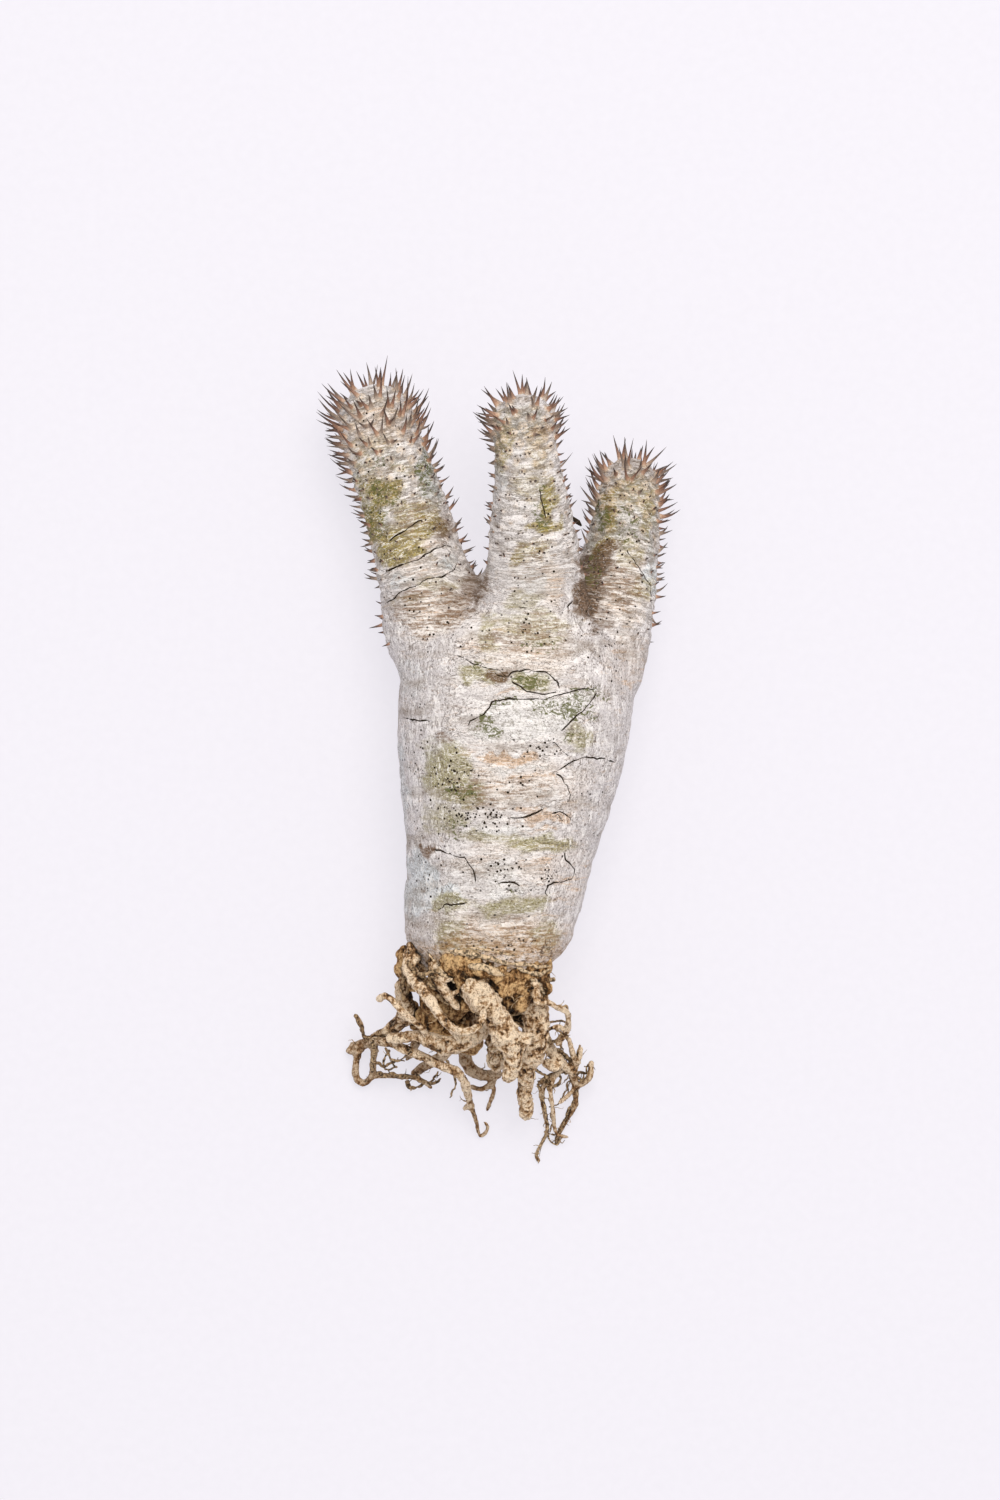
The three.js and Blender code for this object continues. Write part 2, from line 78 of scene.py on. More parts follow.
def lattice_noise(points, seed):
    """Smooth noise from -1 to 1 with lumps one unit across."""
    cell = np.floor(points).astype(np.int64)
    inside = points - cell
    inside = inside * inside * (3 - 2 * inside)
    total = np.zeros(len(points))
    for corner in itertools.product((0, 1), repeat=3):
        key = (cell + corner) * (73856093, 19349663, 83492791)
        mixed = key[:, 0] ^ key[:, 1] ^ key[:, 2] ^ (seed * 2654435761)
        mixed = ((mixed ^ (mixed >> 13)) * 1274126177) & 0xFFFFFFFF
        mixed = ((mixed ^ (mixed >> 15)) * 2246822519) & 0xFFFFFFFF
        weight = np.prod(np.where(corner, inside, 1 - inside), axis=1)
        total += weight * ((mixed >> 8) / 0x7FFFFF - 1)
    return total


def rough_noise(points, size_mm, seed, octaves=3):
    """Layered noise from about -1 to 1. size_mm is how big its lumps are along each axis."""
    scaled = points / (np.asarray(size_mm, float) * MM)
    layers = [lattice_noise(scaled * 2**i + 17.3 * i, seed + i) / 2**i for i in range(octaves)]
    return sum(layers) / sum(0.5**i for i in range(octaves))


def smooth_step(values, low, high):
    """0 at low, 1 at high and smooth between them; low may be the bigger one."""
    t = np.clip((values - low) / (high - low), 0, 1)
    return t * t * (3 - 2 * t)


def points_of(mesh):
    points = np.zeros(len(mesh.vertices) * 3)
    mesh.vertices.foreach_get("co", points)
    return points.reshape(-1, 3)


def normals_of(mesh):
    normals = np.zeros(len(mesh.vertices) * 3)
    mesh.vertex_normals.foreach_get("vector", normals)
    return normals.reshape(-1, 3)


def move_points(mesh, points):
    mesh.vertices.foreach_set("co", np.ascontiguousarray(points, dtype=np.float32).ravel())
    mesh.update()


def store(mesh, name, values):
    """Keeps one number, or one vector, for each vertex, for the materials to read."""
    values = np.asarray(values, np.float32)
    kind, key = ("FLOAT_VECTOR", "vector") if values.ndim == 2 else ("FLOAT", "value")
    mesh.attributes.new(name, kind, "POINT").data.foreach_set(key, values.ravel())


def new_piece(name, mesh):
    piece = bpy.data.objects.new(name, mesh)
    bpy.context.scene.collection.objects.link(piece)
    return piece


def finish_piece(piece, material, replaced=()):
    piece.data.materials.clear()
    piece.data.materials.append(material)
    piece.data.shade_smooth()
    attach(piece, "root")
    if replaced:
        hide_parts(*replaced)


def melted(piece, voxel_size, smoothings):
    """Melts a piece's overlapping shells into one, softens it, divides it once and returns its new mesh."""
    modifiers = (
        ("REMESH", {"mode": "VOXEL", "voxel_size": voxel_size}),
        ("SMOOTH", {"factor": 0.5, "iterations": smoothings}),
        ("SUBSURF", {"levels": 1}),
    )
    for kind, settings in modifiers:
        modifier = piece.modifiers.new(kind, kind)
        for key, value in settings.items():
            setattr(modifier, key, value)
    bpy.context.view_layer.update()
    evaluated = piece.evaluated_get(bpy.context.evaluated_depsgraph_get())
    result = bpy.data.meshes.new_from_object(evaluated)
    piece.modifiers.clear()
    piece.data = result
    return result


def drop_closed_pockets(mesh):
    """Keeps only the biggest shell of a mesh: a remesh can leave small closed pockets inside it."""
    shape = bmesh.new()
    shape.from_mesh(mesh)
    unseen = set(shape.verts)
    shells = []
    while unseen:
        shell = [unseen.pop()]
        for vertex in shell:
            for edge in vertex.link_edges:
                other = edge.other_vert(vertex)
                if other in unseen:
                    unseen.remove(other)
                    shell.append(other)
        shells.append(shell)
    shells.sort(key=len)
    for shell in shells[:-1]:
        bmesh.ops.delete(shape, geom=shell, context="VERTS")
    shape.to_mesh(mesh)
    shape.free()


def swollen_copy(name, node_names, swell):
    """A new piece from the named CAD nodes, each grown along its normals until the gaps between them close."""
    shape = bmesh.new()
    for node_name in node_names:
        start = len(shape.verts)
        shape.from_mesh(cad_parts[node_name].data)
        shape.verts.ensure_lookup_table()
        bmesh.ops.remove_doubles(shape, verts=shape.verts[start:], dist=0.002 * MM)
    bmesh.ops.recalc_face_normals(shape, faces=shape.faces)
    shape.normal_update()
    for vertex in shape.verts:
        vertex.co += vertex.normal * swell
    mesh = bpy.data.meshes.new(name)
    shape.to_mesh(mesh)
    shape.free()
    return new_piece(name, mesh)


class Strands:
    """Collects tapered strands, such as spines, fibres and rootlets, into one mesh."""

    def __init__(self):
        self.points, self.faces, self.reach, self.tone = [], [], [], []
        self.count = 0

    def add(self, route, radii, sides, tone, flatness=1.0):
        """A closed strand along route, with one radius for each point of it; flatness squeezes its section."""
        route = np.asarray(route, float)
        along = np.gradient(route, axis=0)
        along /= np.linalg.norm(along, axis=1)[:, None] + 1e-12
        side = np.cross(along, UP if abs(along[0] @ UP) < 0.9 else (1.0, 0.0, 0.0))
        side /= np.linalg.norm(side, axis=1)[:, None] + 1e-12
        other = np.cross(side, along)
        turns = np.arange(sides) / sides * FULL_TURN
        rings = (
            route[:, None]
            + np.cos(turns)[None, :, None] * side[:, None] * radii[:, None, None]
            + np.sin(turns)[None, :, None] * other[:, None] * radii[:, None, None] * flatness
        )
        steps = len(route)
        self.points += [rings.reshape(-1, 3), route[:1], route[-1:]]
        first, foot, tip = self.count, self.count + steps * sides, self.count + steps * sides + 1
        for k in range(sides):
            following = (k + 1) % sides
            self.faces.append((foot, first + following, first + k))
            last_ring = first + (steps - 1) * sides
            self.faces.append((tip, last_ring + k, last_ring + following))
            for ring in range(steps - 1):
                a = first + ring * sides
                self.faces.append((a + k, a + following, a + sides + following, a + sides + k))
        share = np.linspace(0, 1, steps)
        self.reach += [np.repeat(share, sides), [0.0], [1.0]]
        self.tone.append(np.full(steps * sides + 2, tone))
        self.count += steps * sides + 2

    def piece(self, name):
        mesh = bpy.data.meshes.new(name)
        mesh.from_pydata(np.concatenate(self.points).tolist(), [], self.faces)
        mesh.update()
        shape = bmesh.new()
        shape.from_mesh(mesh)
        bmesh.ops.recalc_face_normals(shape, faces=shape.faces)
        shape.to_mesh(mesh)
        shape.free()
        store(mesh, "reach", np.concatenate(self.reach))
        store(mesh, "tone", np.concatenate(self.tone))
        return new_piece(name, mesh)


def tree_of(mesh):
    return BVHTree.FromPolygons([v.co for v in mesh.vertices], [p.vertices for p in mesh.polygons])


# ---- Where each branch grows ----

GROWING_END = 14 * MM  # the last stretch of a branch, whose roundness gives the branch's radius


class Limb:
    """A branch's own directions: along it to its growing tip, to its side and over it."""

    def __init__(self, node_name):
        points = points_of(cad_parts[node_name].data)
        self.middle = points.mean(0)
        _, vectors = np.linalg.eigh(np.cov((points - self.middle).T))
        self.along = vectors[:, -1] * np.sign(vectors[1, -1])
        distance = (points - self.middle) @ self.along
        self.length = np.ptp(distance)
        near_tip = points[distance > distance.max() - GROWING_END]
        offset = (near_tip - self.middle) - ((near_tip - self.middle) @ self.along)[:, None] * self.along
        self.radius = np.linalg.norm(offset - offset.mean(0), axis=1).max()
        self.tip = self.middle + self.along * distance.max() + offset.mean(0)
        self.side = np.cross(self.along, UP)
        self.side /= np.linalg.norm(self.side)
        self.over = np.cross(self.side, self.along)


LIMBS = {side: Limb(f"branch_{side}") for side in ("left", "middle", "right")}
TRUNK_LOW, TRUNK_HIGH = (np.array(corner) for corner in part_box("caudex"))
TRUNK_SIZE = TRUNK_HIGH - TRUNK_LOW


def on_trunk(across, along):
    """A place seen from above, as shares of the trunk's width and length."""
    return TRUNK_LOW[:2] + TRUNK_SIZE[:2] * (across, along)


def on_limb(side, across, back):
    """A place on a branch seen from above: across as a share of its radius, back from its tip in mm."""
    limb = LIMBS[side]
    return (limb.tip - limb.along * back * MM + limb.side * across * limb.radius)[:2]


# ---- Where the spines sit ----

# In millimetres: how far back from the tip the long spines reach on the upper face and at the flanks, how far
# down any spines reach, how long they are near the tip and below it, and how far apart their pairs sit.
SPINE_ZONES = {
    "left": dict(face=22, crown=28, down=86, long=6.6, short=3.6, spacing=4.5),
    "middle": dict(face=7, crown=16, down=60, long=6.0, short=2.2, spacing=4.1),
    "right": dict(face=9, crown=20, down=60, long=6.2, short=3.6, spacing=4.2),
}
GOLDEN_ANGLE = math.pi * (3 - math.sqrt(5))
FIRST_PAIR = 0.4  # millimetres from the very tip
CROWN_SPINES = range(1, 13)  # the numbers of the longest spines, which have CAD nodes of their own


def spine_sites(side, skin_tree):
    """Where pairs of spines sit in a spiral down a branch: (foot, outward, millimetres back from the tip)."""
    limb, zone = LIMBS[side], SPINE_ZONES[side]
    dome = limb.radius / MM
    around = FULL_TURN * dome
    sites, back, turn = [], FIRST_PAIR, 0.0
    while back < zone["down"]:
        ring = around * math.sqrt(max(0.06, min(1.0, back / dome)))
        back += zone["spacing"] ** 2 / ring
        turn += GOLDEN_ANGLE
        outward = limb.side * math.cos(turn) + limb.over * math.sin(turn)
        centre = limb.tip - limb.along * max(back, dome) * MM
        tilt = max(0.0, 1 - back / dome)
        aim = outward * math.sqrt(max(0.02, 1 - tilt**2)) + limb.along * tilt
        foot, normal, _, _ = skin_tree.ray_cast(Vector(centre), Vector(aim), 30 * MM)
        if foot is not None:
            sites.append((np.array(foot), np.array(normal), back))
    return sites


# ---- Bark ----

BARK_VOXEL = 1.58 * MM  # how fine the bark's melted skin is; as fine as the bark can be within 200,000 triangles
RING_SPACING = 3.1 * MM  # growth wrinkles on the branches
PLATE_LIFT = 0.24 * MM  # how far an old plate of bark stands above the one that peeled next to it
BRANCH_SLIM = 1.0 * MM  # the branches' own surface lies this much lower, because their cushions stand on it
CUSHION_RADIUS = 1.35 * MM
SPLIT_RADIUS = 0.85 * MM  # how far the bark sinks beside a split
EDGE_WOBBLE = 1.1 * MM  # how far a plate's edge wanders from its outline
STAIN_WOBBLE = 3.6 * MM  # the same for the edge of a stain
BUD_SCAR = (0.479, 0.246)  # shares of the trunk's width and length
BUD_SCAR_HALF_WIDTH = 3.0 * MM
BUD_SCAR_HALF_LENGTH = 1.5 * MM

# Two places where an old plate has peeled, seen from above, as shares of the trunk's width and length.
SCALE_OUTLINE = [
    (0.308, 0.669), (0.367, 0.689), (0.399, 0.72), (0.474, 0.727), (0.538, 0.724), (0.623, 0.728),
    (0.708, 0.739), (0.794, 0.755), (0.847, 0.752), (0.815, 0.72), (0.74, 0.676), (0.676, 0.644),
    (0.58, 0.625), (0.474, 0.619), (0.399, 0.612), (0.324, 0.631), (0.292, 0.65),
]
LENS_OUTLINE = [
    (0.479, 0.794), (0.538, 0.8), (0.623, 0.794), (0.676, 0.771), (0.682, 0.746), (0.623, 0.739),
    (0.548, 0.746), (0.495, 0.765), (0.474, 0.778),
]
# Cracks where old bark has split, seen from above, as shares of the trunk's width and length.
TRUNK_CRACKS = {
    "shoulder": [(0.234, 0.838), (0.271, 0.832), (0.324, 0.816), (0.388, 0.804), (0.431, 0.797),
                 (0.463, 0.779), (0.479, 0.794), (0.538, 0.8), (0.623, 0.794), (0.676, 0.771), (0.687, 0.746)],
    "shoulder_low": [(0.463, 0.779), (0.495, 0.765), (0.548, 0.746), (0.623, 0.739), (0.687, 0.746)],
    "shoulder_spur": [(0.388, 0.804), (0.42, 0.786), (0.452, 0.783), (0.47, 0.792)],
    "scale_top": [(0.292, 0.65), (0.308, 0.669), (0.367, 0.689), (0.399, 0.72), (0.474, 0.727), (0.538, 0.724),
                  (0.623, 0.728), (0.708, 0.739), (0.794, 0.755), (0.847, 0.752)],
    "scale_right": [(0.847, 0.752), (0.815, 0.72), (0.74, 0.676), (0.7, 0.655), (0.676, 0.644)],
    "below_scale": [(0.655, 0.646), (0.66, 0.62), (0.69, 0.6), (0.714, 0.585), (0.7, 0.572)],
    "right": [(0.655, 0.545), (0.687, 0.533), (0.714, 0.507), (0.73, 0.485), (0.724, 0.456)],
    "blob_a": [(0.634, 0.44), (0.687, 0.444), (0.73, 0.428), (0.74, 0.402)],
    "blob_b": [(0.65, 0.425), (0.68, 0.436), (0.7, 0.42), (0.72, 0.437)],
    "blob_c": [(0.676, 0.444), (0.682, 0.425), (0.7, 0.41)],
    "middle": [(0.452, 0.437), (0.495, 0.428), (0.538, 0.431), (0.58, 0.44), (0.623, 0.456)],
    "right_low": [(0.703, 0.351), (0.71, 0.32), (0.751, 0.297), (0.742, 0.272), (0.687, 0.267), (0.634, 0.259),
                  (0.623, 0.24), (0.644, 0.218)],
    "left_low": [(0.132, 0.348), (0.186, 0.346), (0.239, 0.332), (0.282, 0.329), (0.314, 0.301), (0.33, 0.275),
                 (0.335, 0.256)],
    "blue_rim": [(0.159, 0.186), (0.196, 0.208), (0.25, 0.211), (0.314, 0.219)],
    "right_fold": [(0.666, 0.542), (0.719, 0.565), (0.783, 0.582), (0.868, 0.578), (0.943, 0.565)],
    "left_fold": [(0.004, 0.685), (0.047, 0.676), (0.1, 0.673), (0.154, 0.676)],
    "scar_slot": [(0.445, 0.249), (0.47, 0.245), (0.505, 0.241)],
    "scar_brow": [(0.4, 0.258), (0.44, 0.266), (0.49, 0.265), (0.53, 0.254)],
}
# The same on the branches: across as a share of the radius, and back from the tip in millimetres.
LIMB_CRACKS = {
    "left": [
        [(-0.82, 61), (-0.67, 60.5), (-0.24, 60), (0.14, 60), (0.35, 59), (0.61, 58), (0.93, 57.5), (1.2, 59)],
        [(-1.1, 70.5), (-0.8, 70), (-0.54, 68.5), (-0.02, 67.5), (0.25, 66.5), (0.61, 67), (0.99, 66),
         (1.2, 63)],
        [(-0.58, 52), (-0.35, 51), (0.09, 49), (0.48, 48), (0.62, 47)],
        [(-0.05, 39.5), (0.1, 39), (0.24, 38.5)],
    ],
    "middle": [[(-0.78, 68), (-0.53, 70), (-0.22, 71)], [(0.7, 73), (0.9, 71), (1.15, 68)],
               [(0.28, 31), (0.32, 35), (0.42, 40), (0.45, 44)]],
    "right": [[(0.03, 30), (0.37, 34), (0.71, 38), (0.97, 41), (1.05, 46)]],
}
CRACK_RADIUS = 0.44 * MM
CRACK_SUNK = 0.14 * MM


def wandering(route, seed, step=0.7 * MM, wander=0.6 * MM):
    """Resamples a given route evenly and lets it wander as a split in bark does."""
    route = np.asarray(route, float)
    lengths = np.concatenate([[0], np.cumsum(np.linalg.norm(np.diff(route, axis=0), axis=1))])
    count = max(4, int(lengths[-1] / step))
    spots = np.linspace(0, lengths[-1], count)
    even = np.stack([np.interp(spots, lengths, route[:, i]) for i in range(2)], axis=1)
    flat = np.column_stack([even, np.full(count, seed * MM)])
    even[:, 0] += wander * rough_noise(flat, 2.6, 40 + seed, 3)
    even[:, 1] += wander * rough_noise(flat, 2.2, 70 + seed, 3)
    return even


def crack_routes():
    routes = [[on_trunk(*spot) for spot in route] for route in TRUNK_CRACKS.values()]
    for side, cracks in LIMB_CRACKS.items():
        routes += [[on_limb(side, *spot) for spot in crack] for crack in cracks]
    return [wandering(route, seed) for seed, route in enumerate(routes)]


def stain_mask(points, spots_by_part):
    """How strongly each point lies in any spot of one stain, from 0 to 1."""
    mask = np.zeros(len(points))
    for part, spots in spots_by_part.items():
        for across, along, wide, long, *strength in spots:
            x, y = on_trunk(across, along) if part == "trunk" else on_limb(part, across, along)
            distance = np.hypot((points[:, 0] - x) / (wide * MM), (points[:, 1] - y) / (long * MM))
            full = strength[0] if strength else 1.0
            mask = np.maximum(mask, full * smooth_step(distance, 1.3, 0.55))
    return mask


def inside_outline(points, outline, edge=0.8 * MM):
    """1 inside a closed outline seen from above, 0 outside it, and smooth within edge of it."""
    corners = np.array([on_trunk(*spot) for spot in outline])
    x, y = points[:, 0], points[:, 1]
    inside = np.zeros(len(points), bool)
    nearest = np.full(len(points), 1.0)
    for (ax, ay), (bx, by) in zip(corners, np.roll(corners, -1, axis=0)):
        crosses = (ay > y) != (by > y)
        with np.errstate(divide="ignore", invalid="ignore"):
            inside ^= crosses & (x < (bx - ax) * (y - ay) / (by - ay) + ax)
        squared_length = (bx - ax) ** 2 + (by - ay) ** 2
        share = np.clip(((x - ax) * (bx - ax) + (y - ay) * (by - ay)) / squared_length, 0, 1)
        nearest = np.minimum(nearest, np.hypot(x - ax - share * (bx - ax), y - ay - share * (by - ay)))
    return smooth_step(np.where(inside, nearest, -nearest), -edge, edge)


# Stains seen from above. A spot on the trunk is across and along as shares, its half width and half length in
# millimetres and, where it is below 1, its strength. On a branch the first two numbers are across as a share
# of its radius and back from its tip in millimetres.
STAINS = {
    # a soft green film of algae on damp bark
    "moss": {
        "trunk": [
            (0.56, 0.768, 8, 3), (0.75, 0.63, 5, 5, 0.8), (0.21, 0.55, 8, 11), (0.28, 0.49, 7, 4),
            (0.2, 0.43, 8, 5, 0.7), (0.36, 0.375, 10, 2.5, 0.8), (0.6, 0.365, 13, 3.2),
            (0.48, 0.208, 13, 3.2), (0.2, 0.108, 4, 4), (0.22, 0.13, 6, 7, 0.9), (0.62, 0.13, 6, 7, 0.8),
            (0.3, 0.1, 9, 3, 0.7), (0.23, 0.21, 6, 3.2), (0.36, 0.79, 8, 2.4), (0.58, 0.92, 13, 4.5, 0.75),
            (0.18, 0.62, 8, 3, 0.5),
        ],
        "left": [
            (-0.4, 55, 6.5, 5.5), (-0.1, 57, 9, 2.4), (0.6, 50, 7, 4.5), (-0.82, 45, 3.6, 9),
            (-0.3, 36, 8, 5.5), (-0.3, 20, 8, 5, 0.5), (-0.2, 52, 9, 7), (0.3, 45, 8, 5, 0.7),
            (-0.6, 28, 5, 8, 0.6), (0.4, 30, 5, 3, 0.5), (0.5, 69, 8, 3, 0.6), (-0.4, 71.5, 6, 2, 0.6),
        ],
        "middle": [
            (-0.1, 52, 6, 5, 0.6), (0.3, 20, 4, 8, 0.5), (0, 30, 7, 6, 0.45), (0.58, 36, 2.4, 9),
            (0.35, 44, 6, 2.2), (-0.65, 16, 3, 10, 0.7), (-0.5, 54, 4, 2.4, 0.8), (-0.4, 68, 7, 3.2, 0.7),
            (-0.1, 80, 10, 2.4, 0.9), (0.3, 75, 8, 2.2, 0.7), (-1.5, 79, 3, 8, 0.8),
        ],
        "right": [
            (0.2, 33, 5, 6, 0.6), (-0.62, 31, 4, 4.2), (-0.45, 18, 2.6, 9, 0.9), (0.75, 43, 4, 4, 0.6),
            (0.6, 18, 2.4, 9, 0.7), (0, 12, 8, 6, 0.5),
        ],
    },
    # the same algae where it has dried to dark green scribbles
    "scribble": {
        "trunk": [
            (0.7, 0.7, 9, 4.6, 0.9), (0.8, 0.735, 6, 3, 0.8), (0.385, 0.66, 3.6, 4, 0.85),
            (0.45, 0.715, 6, 1.8, 0.8), (0.56, 0.77, 7, 2.4), (0.34, 0.805, 5, 1.8, 0.7),
            (0.74, 0.63, 5, 4, 0.5), (0.27, 0.49, 6, 2.6, 0.7), (0.24, 0.4, 5, 5, 0.5),
        ],
        "left": [
            (-0.3, 37, 8, 6, 0.6), (-0.75, 44, 4, 7, 0.6), (0.9, 34, 3.4, 8, 0.8), (0.1, 28, 7, 3, 0.45),
        ],
        "middle": [(0.35, 38, 2.6, 8, 0.7), (-0.1, 83, 9, 3, 0.5)],
        "right": [(-0.75, 20, 3.4, 7), (0.1, 24, 4, 9, 0.6), (-0.9, 38, 3, 7, 0.7)],
    },
    # warm young bark that shows through where the grey skin is thin
    "cream": {
        "trunk": [
            (0.5, 0.86, 17, 9), (0.5, 0.52, 17, 8, 0.8), (0.5, 0.33, 17, 7, 0.6), (0.45, 0.14, 24, 8),
            (0.72, 0.3, 9, 12), (0.75, 0.5, 6, 8, 0.7),
        ],
        "left": [(0.1, 55, 9, 4, 0.8), (0.1, 78, 11, 8), (0, 15, 9, 9), (0, 63, 10, 4, 0.5)],
        "middle": [(0.5, 63, 5, 9, 0.9), (-0.2, 88, 11, 7), (0.45, 15, 4, 6, 0.8)],
        "right": [(0.2, 46, 7, 9), (0.5, 66, 8, 10)],
    },
    # chalky white crusts
    "crust": {
        "trunk": [
            (0.43, 0.398, 12, 2.6), (0.45, 0.3, 9, 7, 0.8), (0.5, 0.55, 12, 1.6, 0.8), (0.45, 0.245, 8, 2.6),
        ],
        "left": [(0.02, 25, 9, 4), (-0.2, 32, 6, 2, 0.6), (0.2, 43, 7, 2, 0.7)],
        "middle": [(-0.15, 62, 5, 4.5), (-0.1, 35, 5, 8, 0.6), (0.1, 84, 7, 2, 0.5)],
        "right": [(0.15, 26, 3, 7, 0.6)],
    },
    # the cool bluish-white of the flanks and of the trunk's left side: painted light from the sky and the
    # white table
    "painted_cool_light": {
        "trunk": [
            (0.09, 0.26, 8, 13), (0.2, 0.225, 8, 5, 0.9), (0.0, 0.5, 5, 22, 0.8), (0.06, 0.78, 9, 8, 0.6),
        ],
        "left": [(1.0, 34, 4, 12), (-0.9, 29, 3, 5), (-0.45, 64.5, 5, 3, 0.8), (0.85, 62.5, 5, 2.6, 0.8)],
        "middle": [(-0.85, 25, 3, 16, 0.7)],
        "right": [(-0.95, 16, 3.4, 10), (0.7, 22, 2.2, 12, 0.8), (1.0, 39, 3.4, 5)],
    },
    # a dull grey-green film on the bark, partly real and partly painted shade on the right branch and on the
    # flanks
    "grey_film_and_shade": {
        "trunk": [(0.16, 0.56, 5, 12, 0.7)],
        "left": [(-0.75, 43, 4.5, 11), (-0.3, 18, 7, 5, 0.3), (0.95, 37, 4, 12, 0.7), (0, 7, 9, 6, 0.5)],
        "middle": [(-0.85, 16, 3, 12, 0.8), (0, 9, 9, 7, 0.75)],
        "right": [
            (-0.55, 22, 5, 13), (-0.95, 22, 4, 14), (0.1, 11, 9, 7, 0.8), (0.75, 24, 3, 12, 0.8),
            (0, 20, 9, 9, 0.6),
        ],
    },
    # a brown stain, partly real and partly painted shade, on the branches' sheltered sides, most on the right
    # branch's left flank
    "brown_stain_and_shade": {
        "trunk": [
            (0.2, 0.105, 3.4, 2.6, 0.8), (0.143, 0.346, 2.6, 2.4, 0.8), (0.2, 0.638, 3, 2, 0.6),
            (0.43, 0.79, 4, 1.8, 0.7),
        ],
        "left": [
            (1.05, 53, 4, 5, 0.6), (1.35, 73, 5, 8, 0.65), (-0.4, 73, 6, 6, 0.42), (0.6, 77, 7, 9, 0.5),
            (0.45, 18, 5, 5, 0.35),
        ],
        "middle": [(0.46, 14, 3, 2, 0.5)],
        "right": [
            (-0.8, 38, 7, 5), (-0.9, 47, 5, 9), (-0.6, 32, 5, 3.4, 0.75), (-0.5, 54, 5, 6, 0.5),
            (-0.8, 16, 5, 11, 0.42), (0, 5, 9, 6, 0.36), (0, 44, 6, 6, 0.45),
        ],
    },
    # peach and ochre bands of fresh cork
    "ochre": {
        "trunk": [
            (0.47, 0.574, 11, 1.9), (0.55, 0.53, 14, 1.0, 0.8), (0.62, 0.436, 12, 2.4, 0.8),
            (0.52, 0.745, 12, 1.0, 0.7), (0.3, 0.6, 7, 2.4, 0.6), (0.64, 0.36, 10, 1.8, 0.8),
            (0.6, 0.2, 12, 2.6, 0.5), (0.42, 0.15, 18, 4, 0.55), (0.45, 0.84, 12, 2, 0.6),
            (0.6, 0.4, 9, 1.2, 0.7), (0.73, 0.66, 4, 6, 0.3), (0.68, 0.25, 5, 10, 0.45),
        ],
        "left": [(0.3, 56, 8, 1.6, 0.5)],
        "middle": [(-0.5, 84, 6, 2.4, 0.6)],
        "right": [(0.6, 62, 6, 7, 0.5)],
    },
    # rows of brown ticks where the growth rings are rubbed
    "ticks": {
        "trunk": [(0.45, 0.5, 20, 7, 0.5), (0.45, 0.13, 22, 6, 0.6), (0.55, 0.86, 16, 6, 0.5)],
        "left": [(0.1, 77, 11, 9), (0.3, 46, 8, 8, 0.5), (-0.2, 63, 8, 5, 0.4)],
        "middle": [(-0.1, 56, 8, 9, 0.5), (0, 78, 12, 8, 0.5)],
        "right": [(0.15, 43, 7, 8)],
    },
}


def growth_places(points):
    """Each point's share in the branches, and its own place in them: across, along and over."""
    shares = {}
    for side, limb in LIMBS.items():
        distance = (points - limb.tip) @ limb.along
        from_line = np.linalg.norm((points - limb.tip) - distance[:, None] * limb.along, axis=1)
        past_crotch = smooth_step(distance, -limb.length * 0.86, -limb.length * 0.62)
        shares[side] = past_crotch * smooth_step(from_line, 30 * MM, 17 * MM)
    total = sum(shares.values())
    growth = points.copy()
    for side, limb in LIMBS.items():
        own = np.stack([points @ limb.side, points @ limb.along, points @ limb.over], axis=1)
        growth += (shares[side] / np.maximum(total, 1))[:, None] * (own - points)
    return np.clip(total, 0, 1), growth


